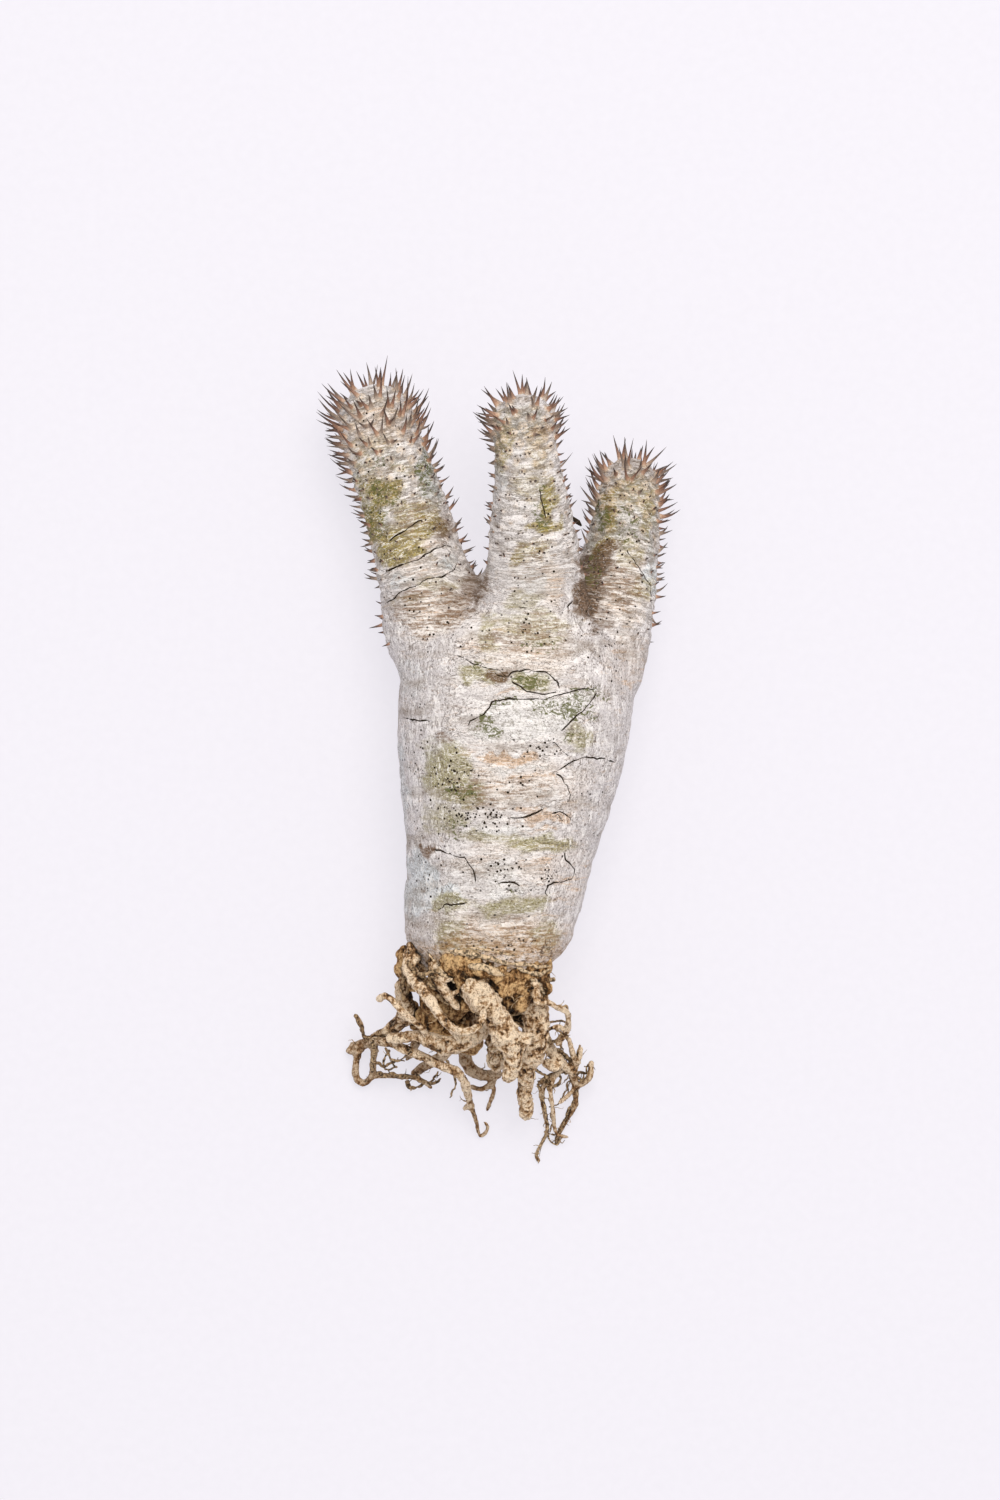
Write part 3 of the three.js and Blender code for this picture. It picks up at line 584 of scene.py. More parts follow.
def bark_skin():
    """Trunk and branches as one continuous skin with growth rings, folds, peeling plates and split edges."""
    skin = swollen_copy("bark", BARK_NODES, 0.45 * MM)
    mesh = melted(skin, BARK_VOXEL, 7)
    points, normals = points_of(mesh), normals_of(mesh)
    on_branch, growth = growth_places(points)
    points -= normals * (BRANCH_SLIM * on_branch)[:, None]
    move_points(mesh, points)
    level_points = points.copy()
    level_tree = tree_of(mesh)
    sites = {side: spine_sites(side, level_tree) for side in LIMBS}

    # Relief, from the biggest shapes to the smallest.
    swelling = 0.5 * MM * rough_noise(points, (24, 20, 24), 3, 2)
    folds = 0.42 * MM * rough_noise(growth, (30, 4.4, 26), 11, 3) * (1 - 0.5 * on_branch)
    warp = 0.5 * rough_noise(growth, (9, 6, 9), 21, 2)
    rings = np.cos((growth[:, 1] / RING_SPACING + warp) * FULL_TURN)
    rings = 0.2 * MM * on_branch * rings * (0.55 + 0.45 * rough_noise(growth, (10, 14, 10), 23, 2))
    wrinkles = 0.2 * MM * rough_noise(growth, (7, 1.9, 7), 31, 2)
    lumps = MM * rough_noise(points, 3.2, 41, 2) * (0.12 + 0.26 * on_branch)

    # A cushion under each pair of spines, tall near the tip and worn down further back.
    cushions = np.zeros(len(points))
    for side, places in sites.items():
        crown = SPINE_ZONES[side]["crown"]
        for foot, _, back in places:
            tall = 0.85 * smooth_step(back, crown * 1.6, crown * 0.6) + 0.3
            away = ((points - foot) ** 2).sum(1) / CUSHION_RADIUS**2
            close = away < 9
            cushions[close] = np.maximum(cushions[close], tall * MM * np.exp(-away[close]))

    # Plates of old bark, lifted at their edges.
    facing_up = smooth_step(normals[:, 2], 0.1, 0.6)
    plates = rough_noise(growth, (17, 11, 17), 51, 4)
    lifted = PLATE_LIFT * (smooth_step(plates, 0.16, 0.2) + smooth_step(plates, -0.24, -0.2))
    wobble = np.stack([rough_noise(level_points, 5, 81, 3), rough_noise(level_points, 5, 85, 3)], axis=1)
    wobbly = level_points + np.column_stack([wobble, wobble[:, 0] * 0]) * EDGE_WOBBLE
    scale = inside_outline(wobbly, SCALE_OUTLINE) * facing_up
    lens = inside_outline(wobbly, LENS_OUTLINE) * facing_up
    lifted -= PLATE_LIFT * 1.3 * np.maximum(scale, lens)

    # The split edges themselves.
    groove = np.zeros(len(points))
    for route in crack_routes():
        for spot in route:
            near = ((points[:, :2] - spot) ** 2).sum(1) / SPLIT_RADIUS**2
            groove = np.maximum(groove, np.exp(-near))
    groove *= facing_up

    # A closed bud scar low on the trunk: a sunk slot with a raised rim.
    off_scar = (points[:, :2] - on_trunk(*BUD_SCAR)) / (BUD_SCAR_HALF_WIDTH, BUD_SCAR_HALF_LENGTH)
    away = np.hypot(off_scar[:, 0], off_scar[:, 1])
    scar_rim = np.exp(-(((away - 1) / 0.45) ** 2)) * facing_up
    scar_slot = np.exp(-((away / 0.5) ** 2)) * facing_up

    # The trunk's foot is wrinkled where the roots leave it.
    foot = smooth_step(points[:, 1], TRUNK_LOW[1] + 26 * MM, TRUNK_LOW[1] + 4 * MM)
    puckers = 0.55 * MM * foot * rough_noise(points, (10, 2.8, 10), 61, 3)

    height = swelling + folds + rings + wrinkles + lumps + cushions + lifted + puckers
    height += 0.8 * MM * scar_rim - 1.0 * MM * scar_slot - 0.32 * MM * groove
    keep_flat = smooth_step(points[:, 2], 0.4 * MM, 3.5 * MM)
    points = points + normals * (height * keep_flat)[:, None]
    points[:, 2] = np.maximum(points[:, 2], 0.02 * MM)
    move_points(mesh, points)

    # How deep each point lies in the relief, for a painted shade in the hollows.
    store(mesh, "hollow", np.clip(-(folds + rings + wrinkles + lumps + puckers) / (0.5 * MM), -1, 1))
    store(mesh, "growth", growth / MM)
    store(mesh, "on_branch", on_branch)
    store(mesh, "plate", plates)
    store(mesh, "cushion", np.clip(cushions / (0.6 * MM), 0, 1))
    # The trunk's sides: they turn the grain lengthwise and are painted greyer, a painted shade.
    store(mesh, "flank", smooth_step(np.abs(normals[:, 0]), 0.25, 0.75) * (1 - on_branch))
    wobbly = level_points + np.column_stack([wobble, wobble[:, 0] * 0]) * STAIN_WOBBLE
    masks = {stain: stain_mask(wobbly, spots_by_part) for stain, spots_by_part in STAINS.items()}
    masks["crust"] = np.maximum(masks["crust"] * (1 - lens), scale)
    masks["cream"] *= 1 - np.maximum(scale, lens)
    masks["ochre"] *= 1 - np.maximum(scale, lens)
    masks["scribble"] = np.maximum(masks["scribble"] * np.where(facing_up > 0, 1, 0.6), scar_slot)
    masks["crust"] = np.maximum(masks["crust"], 0.8 * scar_rim)
    seen = smooth_step(normals[:, 2], -0.3, 0.2)
    for number, (stain, mask) in enumerate(masks.items()):
        elsewhere = 0.75 * smooth_step(rough_noise(level_points, (14, 8, 14), 91 + 7 * number, 2), 0.12, 0.5)
        store(mesh, stain, mask * seen + elsewhere * (1 - seen))
    dirt_edge = TRUNK_LOW[1] + (25 + 7 * rough_noise(level_points, (12, 8, 12), 95, 3)) * MM
    store(mesh, "dirt", smooth_step(points[:, 1], dirt_edge, dirt_edge - 19 * MM))
    return skin, sites


bark, spine_places = bark_skin()
bark_tree = tree_of(bark.data)


# ---- Splits and pinholes in the bark ----

# Groups of pinholes: across and along the trunk as shares, half width and half length in millimetres, and how
# many.
PINHOLES = [
    (0.1, 0.6, 8, 14, 26), (0.24, 0.53, 9, 7, 34), (0.3, 0.44, 11, 4, 42), (0.42, 0.43, 8, 4, 22),
    (0.45, 0.3, 8, 4, 24), (0.64, 0.28, 3, 5, 12), (0.62, 0.6, 5, 3, 14), (0.5, 0.52, 14, 10, 16),
    (0.8, 0.4, 9, 22, 12), (0.12, 0.35, 6, 16, 16), (0.55, 0.9, 16, 8, 14), (0.2, 0.92, 9, 10, 12),
    (0.85, 0.9, 8, 9, 12), (0.5, 0.12, 20, 6, 16),
]
# The same on the branches: back from the tip and how far to either side of that in millimetres, and how many.
LIMB_PINHOLES = [("left", 44, 34, 30), ("middle", 62, 26, 26), ("right", 50, 26, 22)]

ABOVE_PLANT = 0.2  # metres, higher than anything on the plant


def lands_on(tree, x, y):
    """Where a spot seen from above falls on a surface, and the surface's direction there."""
    place, normal, _, _ = tree.ray_cast(Vector((x, y, ABOVE_PLANT)), Vector((0, 0, -1)))
    return (None, None) if place is None else (np.array(place), np.array(normal))


# A dead, blackened bud on the middle branch's right flank: its route and its radii in millimetres.
DEAD_STUB = [(22.0, 78.9, 47.0), (23.6, 78.2, 47.2), (24.8, 77.2, 47.0), (25.9, 76.0, 46.6)]
DEAD_STUB_RADII = [0.8, 0.6, 0.85, 0.3]


def splits_and_pinholes():
    """Dark hairline splits and pinholes: thin strands sunk in the skin so that only their top shows."""
    dark = Strands()
    for number, route in enumerate(crack_routes()):
        places = [lands_on(bark_tree, *spot) for spot in route]
        run = [place - normal * CRACK_SUNK for place, normal in places if place is not None]
        if len(run) < 4:
            continue
        run = np.array(run)
        width = 0.62 + 0.7 * rough_noise(run, 3.2, 120 + number, 2)
        ends = np.clip(np.minimum(np.arange(len(run)), np.arange(len(run))[::-1]) / 3, 0.15, 1)
        dark.add(run, CRACK_RADIUS * np.clip(width, 0.5, 1.5) * ends, sides=5, tone=0.2)
    chance = np.random.default_rng(7)
    spots = []
    for across, along, wide, long, count in PINHOLES:
        middle = on_trunk(across, along)
        spots += [middle + chance.normal(0, 0.5, 2) * (wide * MM, long * MM) for _ in range(count)]
    for side, back, spread, count in LIMB_PINHOLES:
        spots += [
            on_limb(side, chance.uniform(-0.75, 0.75), back + chance.uniform(-spread, spread))
            for _ in range(count)
        ]
    for spot in spots:
        place, normal = lands_on(bark_tree, *spot)
        size = chance.uniform(0.22, 0.44) * MM
        if place is not None and normal[2] > 0.25:
            run = [place - normal * 0.4 * MM, place + normal * 0.03 * MM, place + normal * 0.1 * MM]
            dark.add(run, np.array([size, size, size * 0.6]), sides=7, tone=chance.uniform(0, 0.5))
    dark.add(np.array(DEAD_STUB) * MM, np.array(DEAD_STUB_RADII) * MM, sides=7, tone=0.1)
    return dark.piece("bark_splits")


# ---- Spines ----

# How thick a spine is along its length, as shares of its length and of its thickness at the foot.
SPINE_SHAPE = [(0.0, 1.0), (0.1, 0.92), (0.22, 0.74), (0.4, 0.54), (0.62, 0.36), (0.84, 0.18), (1.0, 0.03)]
SPINE_SUNK = 0.7 * MM  # how deep a spine's foot stands in its cushion
CROWN_SPINE_RADIUS = 0.92 * MM


def grow_spine(strands, foot, direction, length, thickness, bend, chance, worn=False):
    """One spine: a broad woody foot sunk in its cushion, then a needle that curves to a sharp tip."""
    share = np.array([s for s, _ in SPINE_SHAPE])
    width = np.array([w for _, w in SPINE_SHAPE])
    if worn:
        width = np.maximum(width, 0.4)
    sunk = foot - direction * SPINE_SUNK
    route = sunk + direction * (share * (length + SPINE_SUNK))[:, None] + bend * (share**2)[:, None] * length
    strands.add(route, width * thickness, sides=7, flatness=0.8, tone=chance.random())


# Single long spines lower down a branch: foot and tip in millimetres.
LONE_SPINES = {"middle": [((18.4, 93.8, 54.0), (23.2, 97.8, 55.0))]}


def spines_on(side, seed):
    """A branch's spines: twelve long ones at its growing tip, then pairs that wear away further down."""
    limb, zone = LIMBS[side], SPINE_ZONES[side]
    chance = np.random.default_rng(seed)
    strands = Strands()
    crown_centre = limb.tip - limb.along * limb.radius
    for number in CROWN_SPINES:
        shape = points_of(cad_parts[f"spine_{side}_{number:02d}"].data)
        middle = shape.mean(0)
        _, vectors = np.linalg.eigh(np.cov((shape - middle).T))
        distance = (shape - middle) @ vectors[:, -1]
        ends = [middle + vectors[:, -1] * distance.min(), middle + vectors[:, -1] * distance.max()]
        foot, tip = sorted(ends, key=lambda end: np.linalg.norm(end - crown_centre))
        length = np.linalg.norm(tip - foot)
        direction = (tip - foot) / length
        bend = limb.along * chance.uniform(-0.06, 0.16) + chance.normal(0, 0.08, 3)
        hit = bark_tree.ray_cast(Vector(tip), Vector(-direction), 14 * MM)[0]
        foot = foot if hit is None else np.array(hit)
        length = min(np.linalg.norm(tip - foot), zone["long"] * chance.uniform(0.85, 1.1) * MM)
        grow_spine(strands, foot, direction, length, CROWN_SPINE_RADIUS, bend, chance)
    for place, outward, back in spine_places[side]:
        facing = smooth_step(outward[2], 0.2, 0.75)
        edge = zone["crown"] + (zone["face"] - zone["crown"]) * facing
        reach = smooth_step(back, edge * 1.3, edge * 0.75)
        length = (zone["short"] + (zone["long"] - zone["short"]) * reach) * chance.uniform(0.62, 1.1) * MM
        faded = smooth_step(back, zone["down"], zone["down"] * 0.6)
        side_step = np.cross(limb.along, outward)
        side_step /= np.linalg.norm(side_step)
        below_crown = back > edge * 1.1
        for hand in (-1, 1):
            kept = 1 - 0.12 * reach if not below_crown else (0.75 - 0.25 * facing) * (0.25 + 0.75 * faded)
            if chance.random() > kept:
                continue
            lean = 0.42 * reach + chance.normal(-0.05, 0.3)
            direction = outward + limb.along * lean + side_step * hand * chance.uniform(0.1, 0.6)
            direction += chance.normal(0, 0.12, 3)
            direction /= np.linalg.norm(direction)
            foot = place + side_step * hand * 0.6 * MM
            hit = bark_tree.ray_cast(Vector(foot + outward * 6 * MM), Vector(-outward), 12 * MM)[0]
            if hit is None:
                continue
            worn = below_crown and facing > 0.3
            own = chance.uniform(0.35, 1.1) * MM if worn else length
            bend = limb.along * chance.normal(0.16 + 0.2 * faded, 0.16) + chance.normal(0, 0.1, 3)
            thick = (0.76 + 0.14 * reach) * chance.uniform(0.85, 1.15) * MM * (0.85 if worn else 1)
            grow_spine(strands, np.array(hit), direction, own, thick, bend, chance, worn)
    for foot, tip in LONE_SPINES.get(side, []):
        reach = (np.array(tip) - foot) * MM
        length = np.linalg.norm(reach)
        grow_spine(strands, np.array(foot) * MM, reach / length, length, 0.5 * MM, limb.along * 0.2, chance)
    return strands.piece(f"spines_{side}")


# ---- Roots ----

ROOT_VOXEL = 0.5 * MM
NECK_VOXEL = 0.62 * MM
FULL_ROOT = 6 * MM  # how thick a full-grown root is


def inward_gauge(points, normals, tree):
    """How thick a root is at each point, as a share of a full-grown one."""
    thickness = np.full(len(points), FULL_ROOT / 2)
    for index, (point, normal) in enumerate(zip(points, normals)):
        hit = tree.ray_cast(Vector(point - normal * 0.05 * MM), Vector(-normal), 20 * MM)
        if hit[0] is not None:
            thickness[index] = hit[3]
    return np.clip(thickness / FULL_ROOT, 0.14, 1.3)


def root_skin(node_name, seed):
    """A root with knobs, wrinkles across it and grooves along it, finer where it is thinner."""
    root = swollen_copy(node_name + "_skin", [node_name], 0.1 * MM)
    mesh = melted(root, ROOT_VOXEL, 3)
    drop_closed_pockets(mesh)
    points, normals = points_of(mesh), normals_of(mesh)
    gauge = inward_gauge(points, normals, tree_of(mesh))
    knobs = 0.95 * MM * gauge * rough_noise(points, 4.4, seed, 2)
    pits = 0.62 * MM * gauge * rough_noise(points, 1.7, seed + 3, 3)
    wrinkles = 0.36 * MM * gauge * rough_noise(points, (2.6, 0.9, 2.2), seed + 5, 2)
    grooves = 0.25 * MM * gauge * rough_noise(points, (1.0, 5, 1.0), seed + 9, 2)
    points = points + normals * (knobs + pits + wrinkles + grooves)[:, None]
    points[:, 2] = np.maximum(points[:, 2], 0.03 * MM)
    move_points(mesh, points)
    store(mesh, "hollow", np.clip(-(0.5 * knobs + pits + wrinkles + grooves) / (0.42 * MM * gauge), -1, 1))
    return root


def highest(trees, x, y):
    """Where a plumb line at x, y first meets any of these skins, and the skin's direction there."""
    hits = [hit for hit in (lands_on(tree, x, y) for tree in trees) if hit[0] is not None]
    return max(hits, key=lambda hit: hit[0][2]) if hits else (None, None)


# The knotted front of the neck, where it has grown over the trunk's foot, seen from above, as shares of the
# trunk's width and length.
NECK_OUTLINE = [
    (0.115, 0.083), (0.175, 0.066), (0.226, 0.08), (0.303, 0.082), (0.388, 0.068), (0.452, 0.055),
    (0.538, 0.05), (0.6, 0.066), (0.65, 0.065), (0.644, 0.027), (0.653, -0.011), (0.602, -0.062),
    (0.474, -0.057), (0.346, -0.037), (0.239, -0.075), (0.141, -0.067), (0.107, -0.011), (0.132, 0.04),
]
# Big swellings of the neck below the trunk: across and along from the trunk's lower left corner, height above
# the table and radius, all in millimetres.
NECK_SWELLINGS = [
    (13, 0.2, 29, 5), (11.5, -5, 26, 5.5), (10.6, -11, 21, 5.6), (14.7, -16, 18, 4.8), (19, -13.5, 18, 5),
    (22.7, -19, 17, 4.2), (17, -7, 24, 5), (24, -4, 32, 4.4), (33, -3.5, 32, 5), (40, -3, 32, 5),
    (44, 0.5, 33, 4.6), (36, -9, 27, 4.6), (43, -9, 27, 4.6), (29, 0, 36, 4.5), (20, 2, 34, 4.5),
    (7, -13, 16, 4), (3.5, -9, 15, 3.4), (1.6, 9.5, 29, 3.2), (1.8, 5, 28, 3.8), (4.5, 1.5, 27, 4.2),
    (46.5, -1.5, 36, 2.8), (31, 3.5, 40, 4),
]


def lump(shape, centre, radius, stretch):
    """Adds one round lump to a bmesh, to be melted into its neighbours by a remesh."""
    made = bmesh.ops.create_icosphere(shape, subdivisions=2, radius=1.0)
    for vertex in made["verts"]:
        vertex.co = Vector(centre) + Vector(np.array(vertex.co) * radius * stretch)


NECK_KNOBS = 44  # small knobs round the neck
NECK_SPOTS = 330  # smaller ones strewn over its front


def crown_skin():
    """The short woody neck that the roots leave: knobs and old root scars grown together."""
    crown = swollen_copy("root_crown_skin", ["root_crown"], 0.8 * MM)
    chance = np.random.default_rng(23)
    low, high = (np.array(corner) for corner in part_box("root_crown"))
    middle = (low + high) / 2
    shape = bmesh.new()
    shape.from_mesh(crown.data)
    for _ in range(NECK_KNOBS):
        turn = chance.uniform(-0.25, math.pi + 0.25)
        along = chance.uniform(0, 1)
        spread = 1.02 - 0.16 * along
        centre = middle + np.array([
            math.cos(turn) * (high[0] - low[0]) / 2 * spread,
            0.0,
            math.sin(turn) * (high[2] - low[2]) / 2 * spread,
        ])
        centre[1] = high[1] + (3.2 - 14.5 * along) * MM
        stretch = np.array([1.0, chance.uniform(0.8, 1.5), chance.uniform(0.7, 1.0)])
        lump(shape, centre, chance.uniform(1.4, 3.0) * MM, stretch)
    corner = np.array([TRUNK_LOW[0], TRUNK_LOW[1], 0.0])
    for across, along, height, radius in NECK_SWELLINGS:
        lump(shape, corner + np.array([across, along, height]) * MM, radius * MM, np.array([1.0, 1.0, 0.85]))
    skins = [bark_tree, tree_of(crown.data)]
    outline = np.array([on_trunk(*spot) for spot in NECK_OUTLINE])
    spots = chance.uniform(outline.min(0), outline.max(0), (NECK_SPOTS, 2))
    depths = inside_outline(np.column_stack([spots, spots[:, 0] * 0]), NECK_OUTLINE, 5 * MM)
    for spot, depth in zip(spots, depths):
        place, _ = highest(skins, *spot)
        radius = chance.uniform(1.3, 2.9) * MM * min(1.0, 2.4 * depth - 0.85)
        if place is not None and radius > 0.4 * MM:
            stretch = np.array([chance.uniform(0.7, 1.2), chance.uniform(1.2, 2.2), 0.8])
            lump(shape, place - np.array([0, 0, 0.3 * radius]), radius, stretch)
    shape.to_mesh(crown.data)
    shape.free()
    mesh = melted(crown, NECK_VOXEL, 3)
    drop_closed_pockets(mesh)
    points, normals = points_of(mesh), normals_of(mesh)
    lumps = 0.95 * MM * rough_noise(points, 5, 201, 2)
    pits = 0.4 * MM * rough_noise(points, 1.7, 203, 2)
    fibres = 0.5 * MM * rough_noise(points, (1.3, 6, 1.3), 207, 3)
    points = points + normals * (lumps + pits + fibres)[:, None]
    move_points(mesh, points)
    store(mesh, "hollow", np.clip(-(0.6 * lumps + pits + fibres) / (0.5 * MM), -1, 1))
    return crown


LOWEST_STRAND = 0.3 * MM  # above the table


def drifting_route(start, direction, length, steps, wander, chance, droop=0.0):
    """A seeded walk that keeps its heading loosely, as a rootlet does, and never goes through the table."""
    place, heading, route = np.array(start, float), np.array(direction, float), []
    heading /= np.linalg.norm(heading)
    for _ in range(steps):
        route.append(place.copy())
        heading = heading + chance.normal(0, wander, 3) - UP * droop
        heading /= np.linalg.norm(heading)
        place = place + heading * length / steps
        if place[2] < LOWEST_STRAND:
            place[2] = LOWEST_STRAND
            heading[2] = abs(heading[2]) * 0.3
    return np.array(route)


# Folds of loose root skin across the trunk's foot, seen from above: places as shares of the trunk's width and
# length, and how thick in millimetres.
FOOT_FOLDS = [
    ([(0.2, 0.09), (0.28, 0.088), (0.36, 0.08), (0.44, 0.066), (0.47, 0.06)], 2.2),
    ([(0.3, 0.055), (0.36, 0.05), (0.42, 0.038), (0.45, 0.03)], 2.4),
    ([(0.5, 0.05), (0.56, 0.035), (0.6, 0.03), (0.65, 0.042)], 1.6),
    ([(0.14, 0.06), (0.2, 0.03), (0.24, 0.01)], 1.4),
    ([(0.12, 0.09), (0.16, 0.06), (0.21, 0.03)], 1.0),
    ([(0.46, 0.06), (0.52, 0.06), (0.6, 0.05), (0.68, 0.055)], 1.2),
    ([(0.3, 0.1), (0.4, 0.094), (0.5, 0.08)], 0.7),
    ([(0.56, 0.02), (0.6, 0.0), (0.62, -0.02)], 1.5),
]
LOOSE_FIBRES = 120


def crown_fibres(skins, seed):
    """Folds of root skin and short brown fibres that lie over the trunk's foot and the neck below it."""
    chance = np.random.default_rng(seed)
    strands = Strands()
    for number, (fold, thick) in enumerate(FOOT_FOLDS):
        spots = wandering([on_trunk(*spot) for spot in fold], 60 + number, 0.8 * MM, 0.5 * MM)
        places = [highest(skins, *spot) for spot in spots]
        run = np.array([place + normal * 0.15 * MM for place, normal in places if place is not None])
        if len(run) < 4:
            continue
        swell = np.clip(1 + 0.8 * rough_noise(run, 3.0, 150 + number, 2), 0.35, 1.6)
        ends = np.sin(np.linspace(0.12, math.pi - 0.12, len(run))) ** 0.6
        strands.add(run, thick * MM * 0.5 * swell * ends, sides=8, flatness=0.75, tone=0.85)
    low, high = (np.array(corner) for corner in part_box("root_crown"))
    middle = (low + high) / 2
    for _ in range(LOOSE_FIBRES):
        turn = chance.uniform(0, FULL_TURN)
        ring = np.array([math.cos(turn), 0, math.sin(turn)]) * (high - low) / 2
        start = middle + ring + np.array([0, chance.uniform(-2, 8) * MM, 0])
        across = -ring[0] * 20 + chance.normal(0, 0.6)
        upward = -ring[2] * 20 + chance.normal(0, 0.4)
        direction = np.array([across, -0.8, upward])
        route = drifting_route(start, direction, chance.uniform(3, 9) * MM, 12, 0.24, chance)
        radius = chance.uniform(0.08, 0.26) * MM
        strands.add(route, radius * np.linspace(1, 0.35, 12), sides=5, tone=chance.random())
    return strands.piece("crown_fibres")


# Thin side roots: their bends seen from above, from the trunk's lower left corner, then the heights of their
# two ends above the table and how thick they are at those ends, all in millimetres.
SIDE_ROOTS = [
    ([(43, -5.9), (45.1, -4.6), (48.3, -5.4), (51, -6.7), (53.7, -7), (54.5, -9.9), (53.9, -15.3),
      (51.5, -17.4), (48.3, -19.5)], 30, 22, 0.95, 0.6),
    ([(53.7, -7), (54.2, -6.3)], 28, 29, 0.6, 0.3),
    ([(54.2, -16.9), (55.3, -19.5), (56.3, -23.8), (56.9, -27.5), (56.3, -31.3), (54.2, -33.4),
      (53.9, -38.7)], 16, 4, 1.0, 0.5),
    ([(58.7, -20.6), (57.7, -23.8), (56.9, -27.5), (56.3, -30.7)], 12, 8, 0.8, 0.6),
    ([(61.9, -26.5), (62.2, -28.1), (60.6, -31.3), (59, -33.4), (57.9, -31.8)], 9, 9, 1.5, 1.0),
    ([(62.2, -25.9), (60.6, -29.7), (58.5, -28.6), (56.9, -31.3)], 10, 7, 0.9, 0.6),
    ([(55.8, -31.3), (57.1, -35.5), (57.1, -39.3), (54.2, -43), (52.9, -46.7), (51.5, -50.2),
      (48.3, -49.7)], 8, 2, 1.1, 0.6),
    ([(44.9, -32.3), (45.7, -36.6), (47.3, -41.9), (48.3, -46.7), (47.5, -50.5), (45.4, -54.2), (44.1, -56.9),
      (44.7, -59)], 11, 1, 0.95, 0.5),
    ([(48.3, -38.2), (49.4, -43), (49.4, -46.7), (48.1, -49.4)], 8, 3, 0.8, 0.45),
    ([(48.3, -40.9), (52.6, -37.9), (53.9, -35), (55.8, -31.8)], 7, 8, 0.5, 0.35),
    ([(47.5, -49.4), (49.1, -52.6), (51.3, -53.4), (52.6, -50.7), (53.7, -50.4)], 2, 1.5, 0.7, 0.35),
    ([(44.6, -32.3), (48.3, -30.7), (50.5, -29.1), (54.2, -29.1), (56.9, -30.7)], 13, 10, 1.5, 0.9),
    ([(47.3, -30.7), (48.3, -34.5), (50.5, -33.9), (52.6, -31.3), (51, -29.7)], 12, 9, 1.4, 0.8),
    ([(40.9, -28.1), (44.6, -28.6), (46.7, -29.7), (48.3, -32.3)], 17, 12, 0.9, 0.8),
    ([(48.3, -19.5), (51.5, -19.5), (54.2, -16.9)], 20, 16, 1.3, 0.9),
    ([(44.4, -12), (48.3, -13.1), (51, -12.1), (53.7, -13.1)], 25, 22, 0.9, 0.5),
    ([(46.7, -16.3), (49.4, -14.7), (52.1, -15.3), (53.1, -17.4)], 22, 18, 1.0, 0.6),
    ([(49.4, -21.1), (52.1, -22.2), (54.7, -24.9), (56.9, -28.1)], 17, 9, 1.5, 1.0),
    ([(48.3, -22.7), (50.5, -23.8), (53.7, -23.8), (56.3, -27)], 15, 9, 1.1, 0.7),
    ([(47.3, -26.5), (50.5, -25.9), (53.1, -27.5), (54.2, -29.7)], 14, 11, 3.2, 1.6),
    ([(56.3, -30.7), (59, -31.8), (59.5, -29.7)], 6, 6, 0.9, 0.6),
    ([(-8.5, -19.5), (-8.2, -22.7), (-9.3, -25.9), (-9, -29.7)], 20, 6, 1.4, 0.9),
    ([(-7.7, -25.9), (-5, -27), (-1.8, -25.4), (1.4, -25.7)], 18, 12, 1.0, 0.6),
    ([(-4.5, -21.7), (-2.9, -24.9), (0.3, -24.9), (1.9, -23)], 18, 15, 1.0, 0.6),
    ([(-3.9, -22.2), (-5, -25.9), (-4.5, -28.1)], 17, 11, 0.8, 0.5),
    ([(-2.3, -24.9), (-0.7, -27.5), (-4.5, -28.1)], 15, 11, 0.7, 0.5),
    ([(-7.4, -29.7), (-2.9, -30.2), (2.5, -30.7), (7.3, -32.3), (11, -33.4), (13.7, -31.8)], 12, 7, 1.3, 0.8),
    ([(1.9, -32.6), (3, -34.5), (6.2, -34.7), (7.8, -33.4)], 5, 4, 1.2, 0.8),
    ([(5.1, -30.2), (7.8, -32.3), (11, -31.8), (12.6, -29.1)], 9, 6, 1.3, 0.8),
    ([(14.9, -24.8), (16.3, -28.1), (17.7, -32.3), (17.1, -35), (16.3, -37.7)], 13, 3, 0.9, 0.5),
    ([(9.4, 1.3), (11.5, -0.6), (14.2, -0.3), (16.3, 0.3)], 43, 42, 1.5, 1.1),
    ([(12.1, -3), (15.3, -5.1), (19, -7)], 41, 36, 1.5, 1.1),
    ([(17.7, -13.7), (18.7, -15.3), (20.4, -17.7)], 31, 28, 0.9, 0.5),
    ([(6.7, 4.2), (9.9, 4.7), (13.7, 5.8)], 46, 45, 1.6, 1.1),
    ([(7.3, 3.1), (10.5, 2.3), (12.6, 3.1)], 45, 46, 1.2, 0.9),
    ([(3, 8.2), (5.1, 5.5), (4.6, 2.3), (7.3, 1.8)], 44, 44, 1.3, 0.9),
    ([(0.6, 6.1), (1.4, 3.4), (0.9, -0.9), (0.9, -5.1)], 38, 30, 1.6, 1.2),
    ([(1.7, 4.5), (3, 1.3), (2.5, -3)], 34, 28, 1.4, 1.0),
    ([(21.1, -11), (19, -15.3), (16.3, -19.5)], 22, 16, 1.1, 0.8),
    ([(36.1, -11.5), (38.7, -12.6), (41.9, -15), (45.1, -15.8)], 32, 27, 1.6, 0.9),
    ([(35.5, -9.7), (38.2, -8.9), (40.9, -9.7)], 34, 31, 1.2, 0.8),
    ([(-14.1, -10.5), (-12.5, -13.7), (-11.9, -17.4), (-9.4, -18.8)], 18, 13, 1.1, 0.9),
    ([(-8.6, -19.3), (-9.3, -17.4), (-6.6, -16.9), (-6.1, -15.5)], 20, 23, 0.9, 0.5),
    ([(9.4, -15.3), (7.3, -13.1), (6.2, -12.1)], 33, 34, 1.0, 0.8),
    ([(13.7, -3), (13.5, -1.4)], 42, 44, 0.8, 0.4),
    ([(49.9, 1.8), (48.3, 1.5)], 33, 35, 1.4, 1.2),
    ([(23.8, 2.3), (27.5, 3.9), (31.8, 5.5)], 47, 45, 1.3, 0.7),
]


